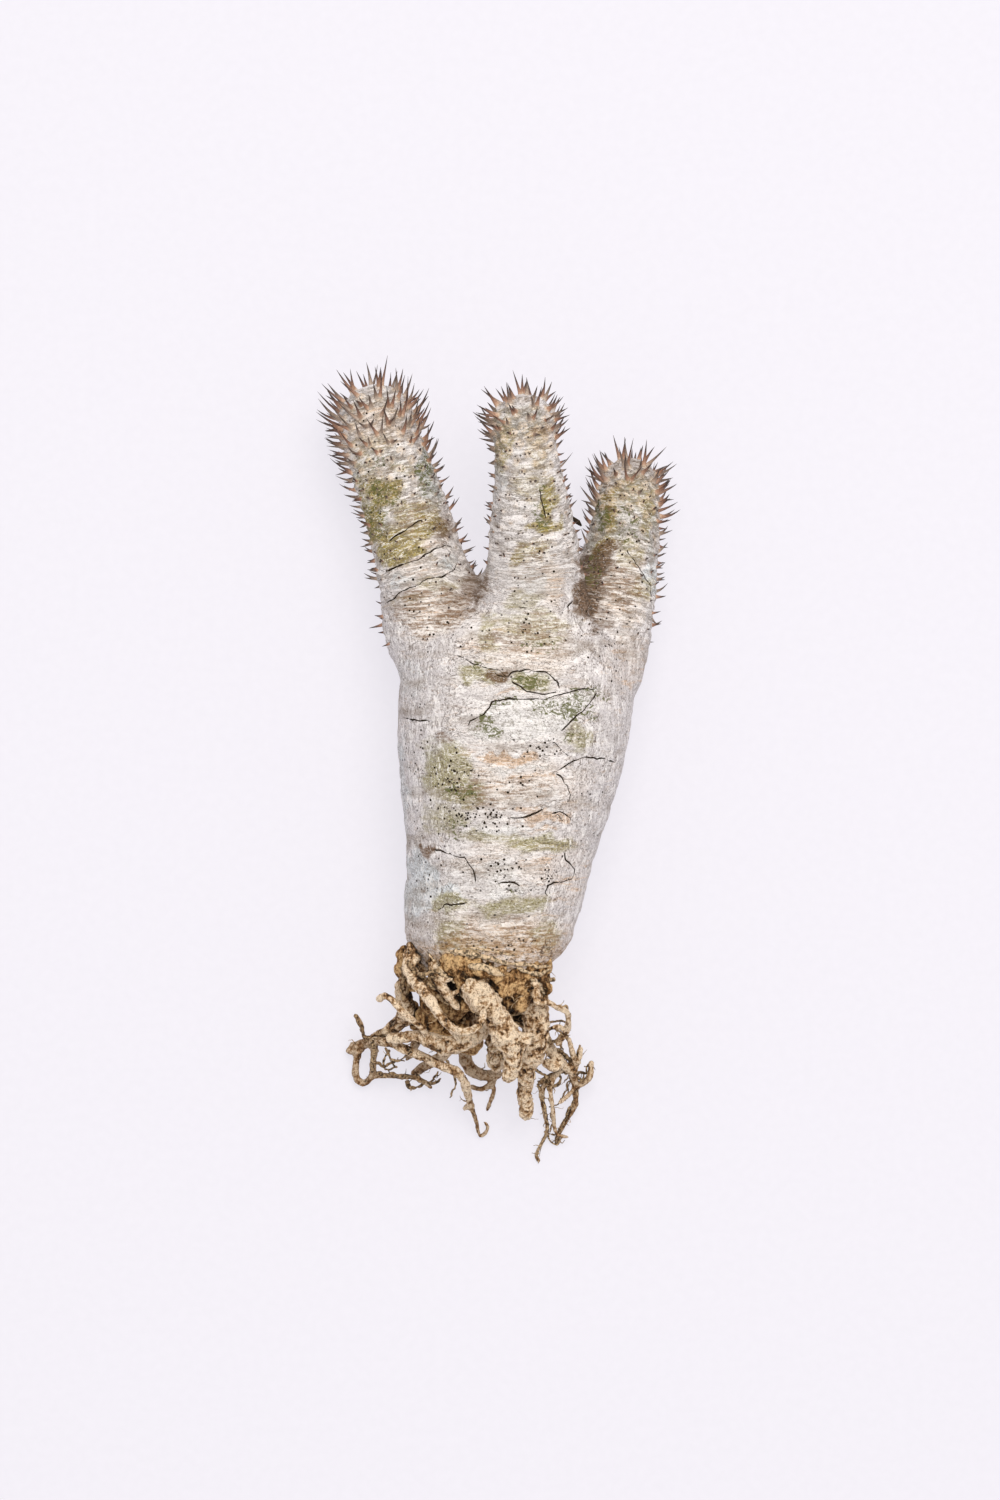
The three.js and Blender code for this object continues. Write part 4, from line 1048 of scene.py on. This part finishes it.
def side_roots(seed):
    """Thin gnarled side roots in tangles at both sides, each knobby along its length."""
    chance = np.random.default_rng(seed)
    strands = Strands()
    corner = TRUNK_LOW[:2]
    for number, (bends, start_height, end_height, thick, thin) in enumerate(SIDE_ROOTS):
        spots = wandering([corner + np.array(bend) * MM for bend in bends], 200 + number, 0.45 * MM, 1.2 * MM)
        share = np.linspace(0, 1, len(spots))
        height = (start_height + (end_height - start_height) * share) * MM
        height += 1.3 * MM * rough_noise(np.column_stack([spots, share]), 4.0, 260 + number, 2)
        route = np.column_stack([spots, np.maximum(height, 0.6 * MM)])
        knobby = np.clip(1 + 0.75 * rough_noise(route, 1.5, 320 + number, 2), 0.55, 1.6)
        radii = (thick + (thin - thick) * share) * 0.5 * MM * knobby
        strands.add(route, radii * np.where(share > 0.96, 0.6, 1), sides=8, tone=chance.uniform(0.2, 0.8))
        for _ in range(int(len(spots) / 9)):
            index = chance.integers(1, len(spots))
            direction = chance.normal(0, 1, 3)
            length = chance.uniform(1.2, 4.2) * MM
            twig = drifting_route(route[index], direction, length, 9, 0.35, chance, droop=0.05)
            radius = chance.uniform(0.12, 0.24) * MM
            strands.add(twig, radius * np.linspace(1, 0.4, 9), sides=5, tone=chance.random())
    return strands.piece("side_roots")


def rootlets(roots, seed):
    """Hair-thin roots along the bigger ones."""
    chance = np.random.default_rng(seed)
    strands = Strands()
    for root in roots:
        points, normals = points_of(root.data), normals_of(root.data)
        count = int(6 + 18 * np.ptp(points[:, 1]) / (60 * MM))
        for index in chance.integers(0, len(points), count):
            foot, normal = points[index], normals[index]
            if foot[1] > TRUNK_LOW[1] - 6 * MM:
                continue
            length = chance.uniform(1.5, 6) * MM
            direction = normal + np.array([chance.normal(0, 0.5), -0.5, chance.normal(-0.1, 0.3)])
            route = drifting_route(foot - normal * 0.2 * MM, direction, length, 12, 0.4, chance, droop=0.06)
            radius = chance.uniform(0.12, 0.34) * MM
            strands.add(route, radius * np.linspace(1, 0.3, 12), sides=5, tone=chance.random())
    return strands.piece("rootlets")


# ---- Materials ----

def add_node(tree, kind, inputs=None, stops=None, **settings):
    """Adds a node. Its inputs may be numbers, hex colours, nodes or sockets, and stops fill a colour ramp."""
    node = tree.nodes.new(kind)
    for key, value in settings.items():
        setattr(node, key, value)
    for key, value in (inputs or {}).items():
        if isinstance(value, bpy.types.Node):
            value = value.outputs[0]
        if isinstance(value, bpy.types.NodeSocket):
            tree.links.new(value, node.inputs[key])
        else:
            node.inputs[key].default_value = linear(value) if isinstance(value, str) else value
    if stops:
        while len(node.color_ramp.elements) < len(stops):
            node.color_ramp.elements.new(0.5)
        for element, (position, colour) in zip(node.color_ramp.elements, stops):
            element.position = position
            element.color = linear(colour)
    return node


def new_material(name):
    """An empty material and its node tree."""
    material = bpy.data.materials.new(name)
    material.use_nodes = True
    material.node_tree.nodes.clear()
    return material, material.node_tree


def finish_material(tree, colour, height, bump_mm, **shader):
    """Joins colour and bump to one surface shader, with its constants set on the shader itself."""
    bump = add_node(tree, "ShaderNodeBump", {"Height": height, "Strength": 1.0, "Distance": bump_mm * MM})
    surface = add_node(tree, "ShaderNodeBsdfPrincipled", {"Base Color": colour, "Normal": bump})
    for name, value in shader.items():
        surface.inputs[name.replace("_", " ")].default_value = value
    add_node(tree, "ShaderNodeOutputMaterial", {"Surface": surface})
    return surface


def stored(tree, *names):
    """The values that the meshes keep for each vertex."""
    nodes = {name: add_node(tree, "ShaderNodeAttribute", attribute_name=name) for name in names}
    return {name: node.outputs["Vector" if name == "growth" else "Fac"] for name, node in nodes.items()}


def in_millimetres(tree):
    place = add_node(tree, "ShaderNodeTexCoord").outputs["Object"]
    return add_node(tree, "ShaderNodeVectorMath", {0: place, "Scale": 1 / MM}, operation="SCALE").outputs[0]


def patterned(tree, where, size_mm, detail=3.0, roughness=0.55, distortion=0.0):
    """Noise whose lumps are size_mm across along each axis of a place given in millimetres."""
    scaled = add_node(tree, "ShaderNodeMapping", {"Vector": where, "Scale": tuple(1 / s for s in size_mm)})
    inputs = {"Vector": scaled, "Scale": 1.0, "Detail": detail, "Roughness": roughness}
    return add_node(tree, "ShaderNodeTexNoise", {**inputs, "Distortion": distortion}).outputs["Fac"]


def showing(tree, pattern, low, high, *within, strength=1.0):
    """Where a pattern shows: softly from low to high, up to the given strength, and only within masks."""
    ranges = {"Value": pattern, "From Min": low, "From Max": high, "To Max": strength}
    shown = add_node(tree, "ShaderNodeMapRange", ranges, interpolation_type="SMOOTHSTEP").outputs["Result"]
    for mask in within:
        shown = add_node(tree, "ShaderNodeMath", {0: shown, 1: mask}, operation="MULTIPLY").outputs[0]
    return shown


def summed(tree, start, *shares):
    """start plus each (pattern, share) after it."""
    for pattern, share in shares:
        inputs = {0: pattern, 1: share, 2: start}
        start = add_node(tree, "ShaderNodeMath", inputs, operation="MULTIPLY_ADD").outputs[0]
    return start


def threads(tree, pattern, level, thin, *within, strength=1.0):
    """Thin wandering lines where a pattern passes a level."""
    off = add_node(tree, "ShaderNodeMath", {0: pattern, 1: level}, operation="SUBTRACT").outputs[0]
    off = add_node(tree, "ShaderNodeMath", {0: off}, operation="ABSOLUTE").outputs[0]
    return showing(tree, off, thin, thin * 0.35, *within, strength=strength)


def layered(tree, colour, layers):
    """Lays colours one over another, each through its own mask."""
    for mask, over in layers:
        colour = add_node(tree, "ShaderNodeMixRGB", {"Fac": mask, "Color1": colour, "Color2": over}).outputs[0]
    return colour


def bark_material():
    """Living bark: a thin matt grey-white skin over warm wood, with algae stains and crazed crusts.

    Sizes are in millimetres across, along and over the stem. The real grain of the bark is about 0.3 wide and
    its real grit about 0.2. Both are drawn two to four times coarser, so that they show.
    """
    material, tree = new_material("living_bark")
    kept = stored(tree, "growth", "hollow", "plate", "cushion", "flank", "on_branch", "dirt", *STAINS)
    growth = kept["growth"]
    cloud = patterned(tree, growth, (8, 5, 8), 5, 0.65)
    tint = patterned(tree, growth, (16, 2.6, 16), 5, 0.65, 0.4)
    cross_grain = patterned(tree, growth, (3.4, 0.62, 3.4), 4, 0.65, 0.6)
    long_grain = patterned(tree, growth, (0.75, 4.2, 0.9), 4, 0.65, 0.9)
    grit = patterned(tree, growth, (0.75, 0.6, 0.75), 4, 0.7)
    blotch = patterned(tree, growth, (2.6, 1.2, 2.6), 5, 0.75, 0.6)
    scrawl = patterned(tree, growth, (1.15, 0.85, 1.15), 3, 0.6, 1.4)
    scribbles = patterned(tree, growth, (2.4, 1.7, 2.4), 4, 0.7, 1.6)
    streaks = patterned(tree, growth, (4.5, 1.3, 4.5), 5, 0.75, 0.8)
    tick_rows = patterned(tree, growth, (5.0, 0.85, 5.0), 4, 0.6, 0.2)
    soft_stripes = patterned(tree, growth, (16, 2.4, 16), 5, 0.7, 0.6)
    cross_folds = patterned(tree, growth, (7.5, 1.9, 7.5), 5, 0.62, 0.3)
    long_folds = patterned(tree, growth, (1.9, 8.5, 2.4), 5, 0.62, 0.3)

    base = add_node(tree, "ShaderNodeValToRGB", {"Fac": cloud}, stops=[
        (0.32, "CDC6C4"), (0.44, "E0DAD7"), (0.56, "EEE8E5"), (0.7, "EEE4DB")]).outputs[0]
    swirl_inputs = {"Vector": growth, "Scale": 0.8, "Detail": 3.0}
    swirl = add_node(tree, "ShaderNodeTexNoise", swirl_inputs).outputs["Color"]
    crazed_place = add_node(
        tree, "ShaderNodeMixRGB", {"Fac": 0.9, "Color1": growth, "Color2": swirl}, blend_type="LINEAR_LIGHT"
    )
    crazing = add_node(
        tree, "ShaderNodeTexVoronoi", {"Vector": crazed_place, "Scale": 0.42}, feature="DISTANCE_TO_EDGE"
    ).outputs["Distance"]
    fleck_cells = add_node(tree, "ShaderNodeTexVoronoi", {"Vector": growth, "Scale": 0.36})
    fleck = showing(tree, fleck_cells.outputs["Distance"], 0.16, 0.1,
                    showing(tree, fleck_cells.outputs["Color"], 0.6, 0.64))

    striae = layered(tree, cross_grain, [(kept["flank"], long_grain)])
    folds = layered(tree, cross_folds, [(kept["flank"], long_folds)])
    moss_edge = summed(tree, kept["moss"], (streaks, 1.6), (tint, 0.6))
    ochre_edge = summed(tree, kept["ochre"], (tint, 1.0), (blotch, 0.6))
    brown_stain_and_shade_edge = summed(tree, kept["brown_stain_and_shade"], (streaks, 1.6), (cloud, 0.6))
    grey_film_and_shade_edge = summed(tree, kept["grey_film_and_shade"], (streaks, 1.6), (cloud, 0.6))
    moss_tone = layered(tree, "B1A87E", [(kept["on_branch"], "A6923C")])
    moss_strength = summed(tree, 0.84, (kept["on_branch"], 0.1))
    crust_edge = summed(tree, kept["crust"], (blotch, 0.9))
    painted_cool_light_edge = summed(tree, kept["painted_cool_light"], (cloud, 1.0))
    scribble_edge = summed(tree, scribbles, (kept["scribble"], 0.14))

    gritty = showing(tree, grit, 0.4, 0.55)
    blotchy = showing(tree, blotch, 0.45, 0.55)
    crusted = showing(tree, kept["crust"], 0.3, 0.9)
    scribbled = showing(tree, kept["scribble"], 0.1, 0.4)
    dirty = showing(tree, kept["dirt"], 0.3, 0.9)

    colour = layered(tree, base, [
        (showing(tree, kept["cream"], 0, 1, strength=0.75), "F1E3D6"),
        (showing(tree, kept["plate"], 0.165, 0.2, strength=0.3), "CFCBC7"),
        (showing(tree, soft_stripes, 0.5, 0.62, strength=0.65), "F7F1ED"),
        (showing(tree, soft_stripes, 0.46, 0.34, strength=0.35), "C2AB97"),
        # Painted shade: the trunk's sides greyer than its top.
        (showing(tree, kept["flank"], 0, 1, strength=0.5), "D3CDCE"),
        (showing(tree, ochre_edge, 1.2, 1.75, strength=0.75), "CFA67B"),
        (showing(tree, tint, 0.56, 0.64, showing(tree, kept["cream"], 0.1, 0.9), strength=0.6), "DDB48A"),
        (showing(tree, streaks, 0.54, 0.64, showing(tree, cloud, 0.4, 0.6), strength=0.4), "E3BD98"),
        # Painted light: a cool bluish-white over the flanks and the trunk's left side.
        (showing(tree, painted_cool_light_edge, 0.95, 1.5, strength=0.8), "D5DCDF"),
        (showing(tree, crust_edge, 1.0, 1.35, strength=0.85), "F1EEEB"),
        # A dull grey-green film, partly real and partly painted shade.
        (showing(tree, grey_film_and_shade_edge, 1.4, 2.0, strength=0.75), "98978A"),
        (showing(tree, moss_edge, 1.2, 2.2, moss_strength), moss_tone),
        (showing(tree, scrawl, 0.48, 0.6, showing(tree, moss_edge, 1.5, 2.2), strength=0.75), "77702A"),
        # A brown stain, partly real and partly painted shade.
        (showing(tree, brown_stain_and_shade_edge, 1.2, 2.0, strength=0.85), "6E4C24"),
        (showing(tree, striae, 0.56, 0.63, strength=0.28), "7D6F63"),
        (showing(tree, striae, 0.44, 0.36, strength=0.35), "F8F3EE"),
        (threads(tree, folds, 0.5, 0.02, showing(tree, cloud, 0.38, 0.52), strength=0.8), "5F5145"),
        (threads(tree, folds, 0.42, 0.016, strength=0.65), "6E5F52"),
        (threads(tree, folds, 0.58, 0.022, strength=0.8), "FFFBF6"),
        (threads(tree, scribbles, 0.5, 0.02, showing(tree, blotch, 0.46, 0.58), strength=0.6), "6E5E4E"),
        # Painted shade in the hollows of the relief.
        (showing(tree, kept["hollow"], 0.05, 0.7, strength=0.55), "85735F"),
        (showing(tree, tick_rows, 0.5, 0.57, showing(tree, kept["ticks"], 0.1, 0.7), strength=0.8), "8A6C4E"),
        (showing(tree, tick_rows, 0.46, 0.38, showing(tree, kept["ticks"], 0.1, 0.7), strength=0.7), "F8F1E8"),
        (showing(tree, kept["cushion"], 0.15, 0.75, kept["on_branch"], gritty, strength=0.6), "DDC3A2"),
        (showing(tree, crazing, 0.07, 0.02, crusted, blotchy, strength=0.5), "7B755F"),
        (showing(tree, grit, 0.56, 0.64, strength=0.6), "FFFBF6"),
        (showing(tree, grit, 0.44, 0.36, strength=0.65), "5C5046"),
        # The brown stain and painted shade again over the grit, with dark scrawls in it.
        (showing(tree, brown_stain_and_shade_edge, 1.2, 2.1, strength=0.45), "74522B"),
        (showing(tree, scrawl, 0.44, 0.56, showing(tree, brown_stain_and_shade_edge, 1.5, 2.2), strength=0.8), "36281C"),
        (threads(tree, folds, 0.46, 0.022, kept["on_branch"], strength=0.65), "6A5D4C"),
        (showing(tree, kept["dirt"], 0.05, 1.0, showing(tree, blotch, 0.3, 0.6), strength=0.65), "C59C66"),
        (showing(tree, blotch, 0.53, 0.62, dirty, strength=0.8), "7D5930"),
        (showing(tree, scribbles, 0.54, 0.6, showing(tree, kept["dirt"], 0.15, 0.8), strength=0.85), "4C3520"),
        (showing(tree, scribble_edge, 0.6, 0.66, scribbled, strength=0.9), "5A5C26"),
        (showing(tree, fleck, 0, 1, strength=0.85), "352C25"),
    ])
    relief = summed(tree, grit, (striae, 1.1), (blotch, 1.0), (crazing, 0.6), (scrawl, 0.4))
    finish_material(tree, colour, relief, 0.3, Roughness=0.7, Specular_IOR_Level=0.3)
    return material


def split_material():
    """The bottom of a split in bark: dry dead wood in its own shadow, nearly black and quite matt.

    Its crumbs are about 0.7 mm across.
    """
    material, tree = new_material("bark_split")
    grain = patterned(tree, in_millimetres(tree), (0.7, 0.7, 0.7))
    mixed = summed(tree, grain, (stored(tree, "tone")["tone"], 0.5))
    colour = add_node(tree, "ShaderNodeValToRGB", {"Fac": mixed}, stops=[
        (0.3, "17120D"), (0.8, "382E22")]).outputs[0]
    finish_material(tree, colour, grain, 0.05, Roughness=0.9, Specular_IOR_Level=0.1)
    return material


def spine_material():
    """Dry spine wood: tan and fibrous at the foot, red-brown higher up, with a hard dark tip that shines.

    Its real fibres are about 0.1 mm and are drawn at 0.5 mm, so that they show.
    """
    material, tree = new_material("dry_spine_wood")
    kept = stored(tree, "reach", "tone")
    grain = patterned(tree, in_millimetres(tree), (0.5, 0.5, 0.5), 3)
    shifted = summed(tree, kept["reach"], (grain, 0.5))
    fresh = add_node(tree, "ShaderNodeValToRGB", {"Fac": shifted}, stops=[
        (0.28, "DAC6B0"), (0.5, "B8937A"), (0.72, "8C6855"), (0.92, "5A4238"), (1.0, "3A2B25")]).outputs[0]
    weathered = add_node(tree, "ShaderNodeValToRGB", {"Fac": shifted}, stops=[
        (0.3, "CFC5BA"), (0.6, "9F8F80"), (1.0, "4A3D35")]).outputs[0]
    colour = layered(tree, fresh, [(showing(tree, kept["tone"], 0.45, 0.7, strength=0.8), weathered)])
    finish_material(tree, colour, grain, 0.1, Roughness=0.5, Specular_IOR_Level=0.4)
    return material


def root_material(name, pale, middle, deep, black, lightness):
    """Dried root skin: corky and wrinkled, pale on rubbed knobs and darker in the hollows, with painted shade
    from ambient occlusion in the crevices.

    The real grain of the cork is about 0.3 mm and is drawn at about 1 mm, so that it shows. lightness shifts
    the whole root towards the pale colour.
    """
    material, tree = new_material(name)
    kept = stored(tree, "hollow")
    place = in_millimetres(tree)
    cloud = patterned(tree, place, (5, 5, 5), 4, 0.6)
    grain = patterned(tree, place, (0.8, 1.1, 0.8), 5, 0.7, 0.5)
    pores = patterned(tree, place, (1.0, 1.0, 1.0), 4, 0.65, 0.8)
    # Painted shade: ambient occlusion darkens the crevices, down to black in the deepest.
    painted_crevice_shade = add_node(tree, "ShaderNodeAmbientOcclusion", {"Distance": 5 * MM}, samples=6).outputs["AO"]
    mixed = summed(tree, lightness, (cloud, 0.8), (kept["hollow"], -0.26), (grain, 1.05), (painted_crevice_shade, 0.4))
    colour = add_node(tree, "ShaderNodeValToRGB", {"Fac": mixed}, stops=[
        (0.2, black), (0.33, deep), (0.44, middle), (0.6, pale)]).outputs[0]
    height = add_node(tree, "ShaderNodeSeparateXYZ", {"Vector": place}).outputs["Z"]
    colour = layered(tree, colour, [
        # Darker towards the table, below 20 mm above it.
        (showing(tree, height, 20, 5, strength=0.45), deep),
        (showing(tree, pores, 0.54, 0.6, strength=0.75), deep),
        (showing(tree, pores, 0.43, 0.36, strength=0.5), pale),
        (threads(tree, grain, 0.45, 0.02, strength=0.75), black),
        (showing(tree, painted_crevice_shade, 0.75, 0.2, strength=0.9), black),
    ])
    relief = summed(tree, grain, (pores, -0.6))
    finish_material(tree, colour, relief, 0.4, Roughness=0.85, Specular_IOR_Level=0.2)
    return material


def fibre_material(name, pale, deep):
    """Bare fibre: fine dry strands, each its own brown, speckled with crumbs of soil 1.4 mm apart."""
    material, tree = new_material(name)
    place = in_millimetres(tree)
    grain = patterned(tree, place, (0.9, 0.9, 0.9), 3, 0.6, 0.5)
    speck = patterned(tree, place, (1.4, 1.4, 1.4), 4, 0.7)
    mixed = summed(tree, grain, (stored(tree, "tone")["tone"], 0.35))
    colour = add_node(tree, "ShaderNodeValToRGB", {"Fac": mixed}, stops=[
        (0.42, deep), (0.95, pale)]).outputs[0]
    colour = layered(tree, colour, [(showing(tree, speck, 0.48, 0.58, strength=0.85), "2C1F15")])
    finish_material(tree, colour, grain, 0.15, Roughness=0.8, Specular_IOR_Level=0.2)
    return material


def table_material():
    """White matt laminate lit from below as well, so that shadows on it stay faint."""
    material, tree = new_material("white_laminate")
    mottle = patterned(tree, in_millimetres(tree), (3, 3, 3), 2)
    colour = add_node(tree, "ShaderNodeValToRGB", {"Fac": mottle}, stops=[
        (0.3, "7C7A7E"), (0.7, "807E82")]).outputs[0]
    surface = finish_material(tree, colour, mottle, 0.01, Roughness=0.7, Specular_IOR_Level=0.1)
    surface.inputs["Emission Color"].default_value = linear("F7F4FB")
    surface.inputs["Emission Strength"].default_value = 0.72
    return material


# ---- Putting the plant together ----

finish_piece(bark, bark_material(), BARK_NODES)
finish_piece(splits_and_pinholes(), split_material())
spine_finish = spine_material()
for seed, side in enumerate(LIMBS):
    own_nodes = [f"spine_{side}_{number:02d}" for number in CROWN_SPINES]
    finish_piece(spines_on(side, 300 + seed), spine_finish, own_nodes)
root_finish = root_material("dried_root_skin", "EED8BA", "BE996E", "775536", "1C120B", -0.79)
roots = []
for seed, node_name in enumerate(ROOT_NODES):
    root = root_skin(node_name, 400 + 20 * seed)
    finish_piece(root, root_finish, [node_name])
    roots.append(root)
neck_finish = root_material("knotted_neck_wood", "D3AE7C", "976C41", "523619", "140C06", -0.83)
neck = crown_skin()
finish_piece(neck, neck_finish, ["root_crown"])
fibre_finish = fibre_material("loose_root_skin", "E4CCA8", "8F6E49")
finish_piece(crown_fibres([bark_tree, tree_of(neck.data)], 11), fibre_finish)
rootlet_finish = fibre_material("rootlet_fibre", "D2B68E", "65492F")
finish_piece(side_roots(13), rootlet_finish)
finish_piece(rootlets(roots, 12), rootlet_finish)


# ---- Table, light and camera ----

def table_top(half_width, z):
    shape = bmesh.new()
    bmesh.ops.create_grid(shape, x_segments=12, y_segments=12, size=half_width)
    mesh = bpy.data.meshes.new("table_top")
    shape.to_mesh(mesh)
    shape.free()
    top = new_piece("table_top", mesh)
    top.location.z = z
    top.data.materials.append(table_material())


def softbox(name, place, aim, size, power, colour):
    light = bpy.data.lights.new(name, "AREA")
    light.shape = "SQUARE"
    light.size = size
    light.energy = power
    light.color = linear(colour)[:3]
    lamp = bpy.data.objects.new(name, light)
    lamp.location = place
    lamp.rotation_euler = (Vector(aim) - Vector(place)).to_track_quat("-Z", "Y").to_euler()
    bpy.context.scene.collection.objects.link(lamp)


TABLE_GAP = 0.05 * MM  # keeps the table's top just clear of the plant's underside
table_top(half_width=12.0, z=cad_box[0][2] - TABLE_GAP)
softbox("window_softbox", place=(0.18, 0.5, 1.5), aim=(0, 0, 0.03), size=0.9, power=18, colour="FFFAF2")

world = bpy.data.worlds.new("studio_white")
bpy.context.scene.world = world
world.use_nodes = True
background = world.node_tree.nodes["Background"]
background.inputs["Color"].default_value = linear("F8F7FC")
background.inputs["Strength"].default_value = 0.7

VIEW_HEIGHT = 0.48  # metres of table from the bottom of the view to its top
CAMERA_ABOVE = 1.8
FILM_HEIGHT = 36  # millimetres
VIEW_OFFSET = 4.7 * MM  # the view's middle lies this much nearer the branches than the plant's own
middle = (np.array(cad_box[0]) + np.array(cad_box[1])) / 2
camera_data = bpy.data.cameras.new("overhead")
camera_data.sensor_width = FILM_HEIGHT
camera_data.lens = FILM_HEIGHT * CAMERA_ABOVE / VIEW_HEIGHT
camera = bpy.data.objects.new("overhead", camera_data)
camera.location = (middle[0], middle[1] + VIEW_OFFSET, middle[2] + CAMERA_ABOVE)
bpy.context.scene.collection.objects.link(camera)
bpy.context.scene.camera = camera
bpy.context.scene.view_settings.view_transform = "Standard"
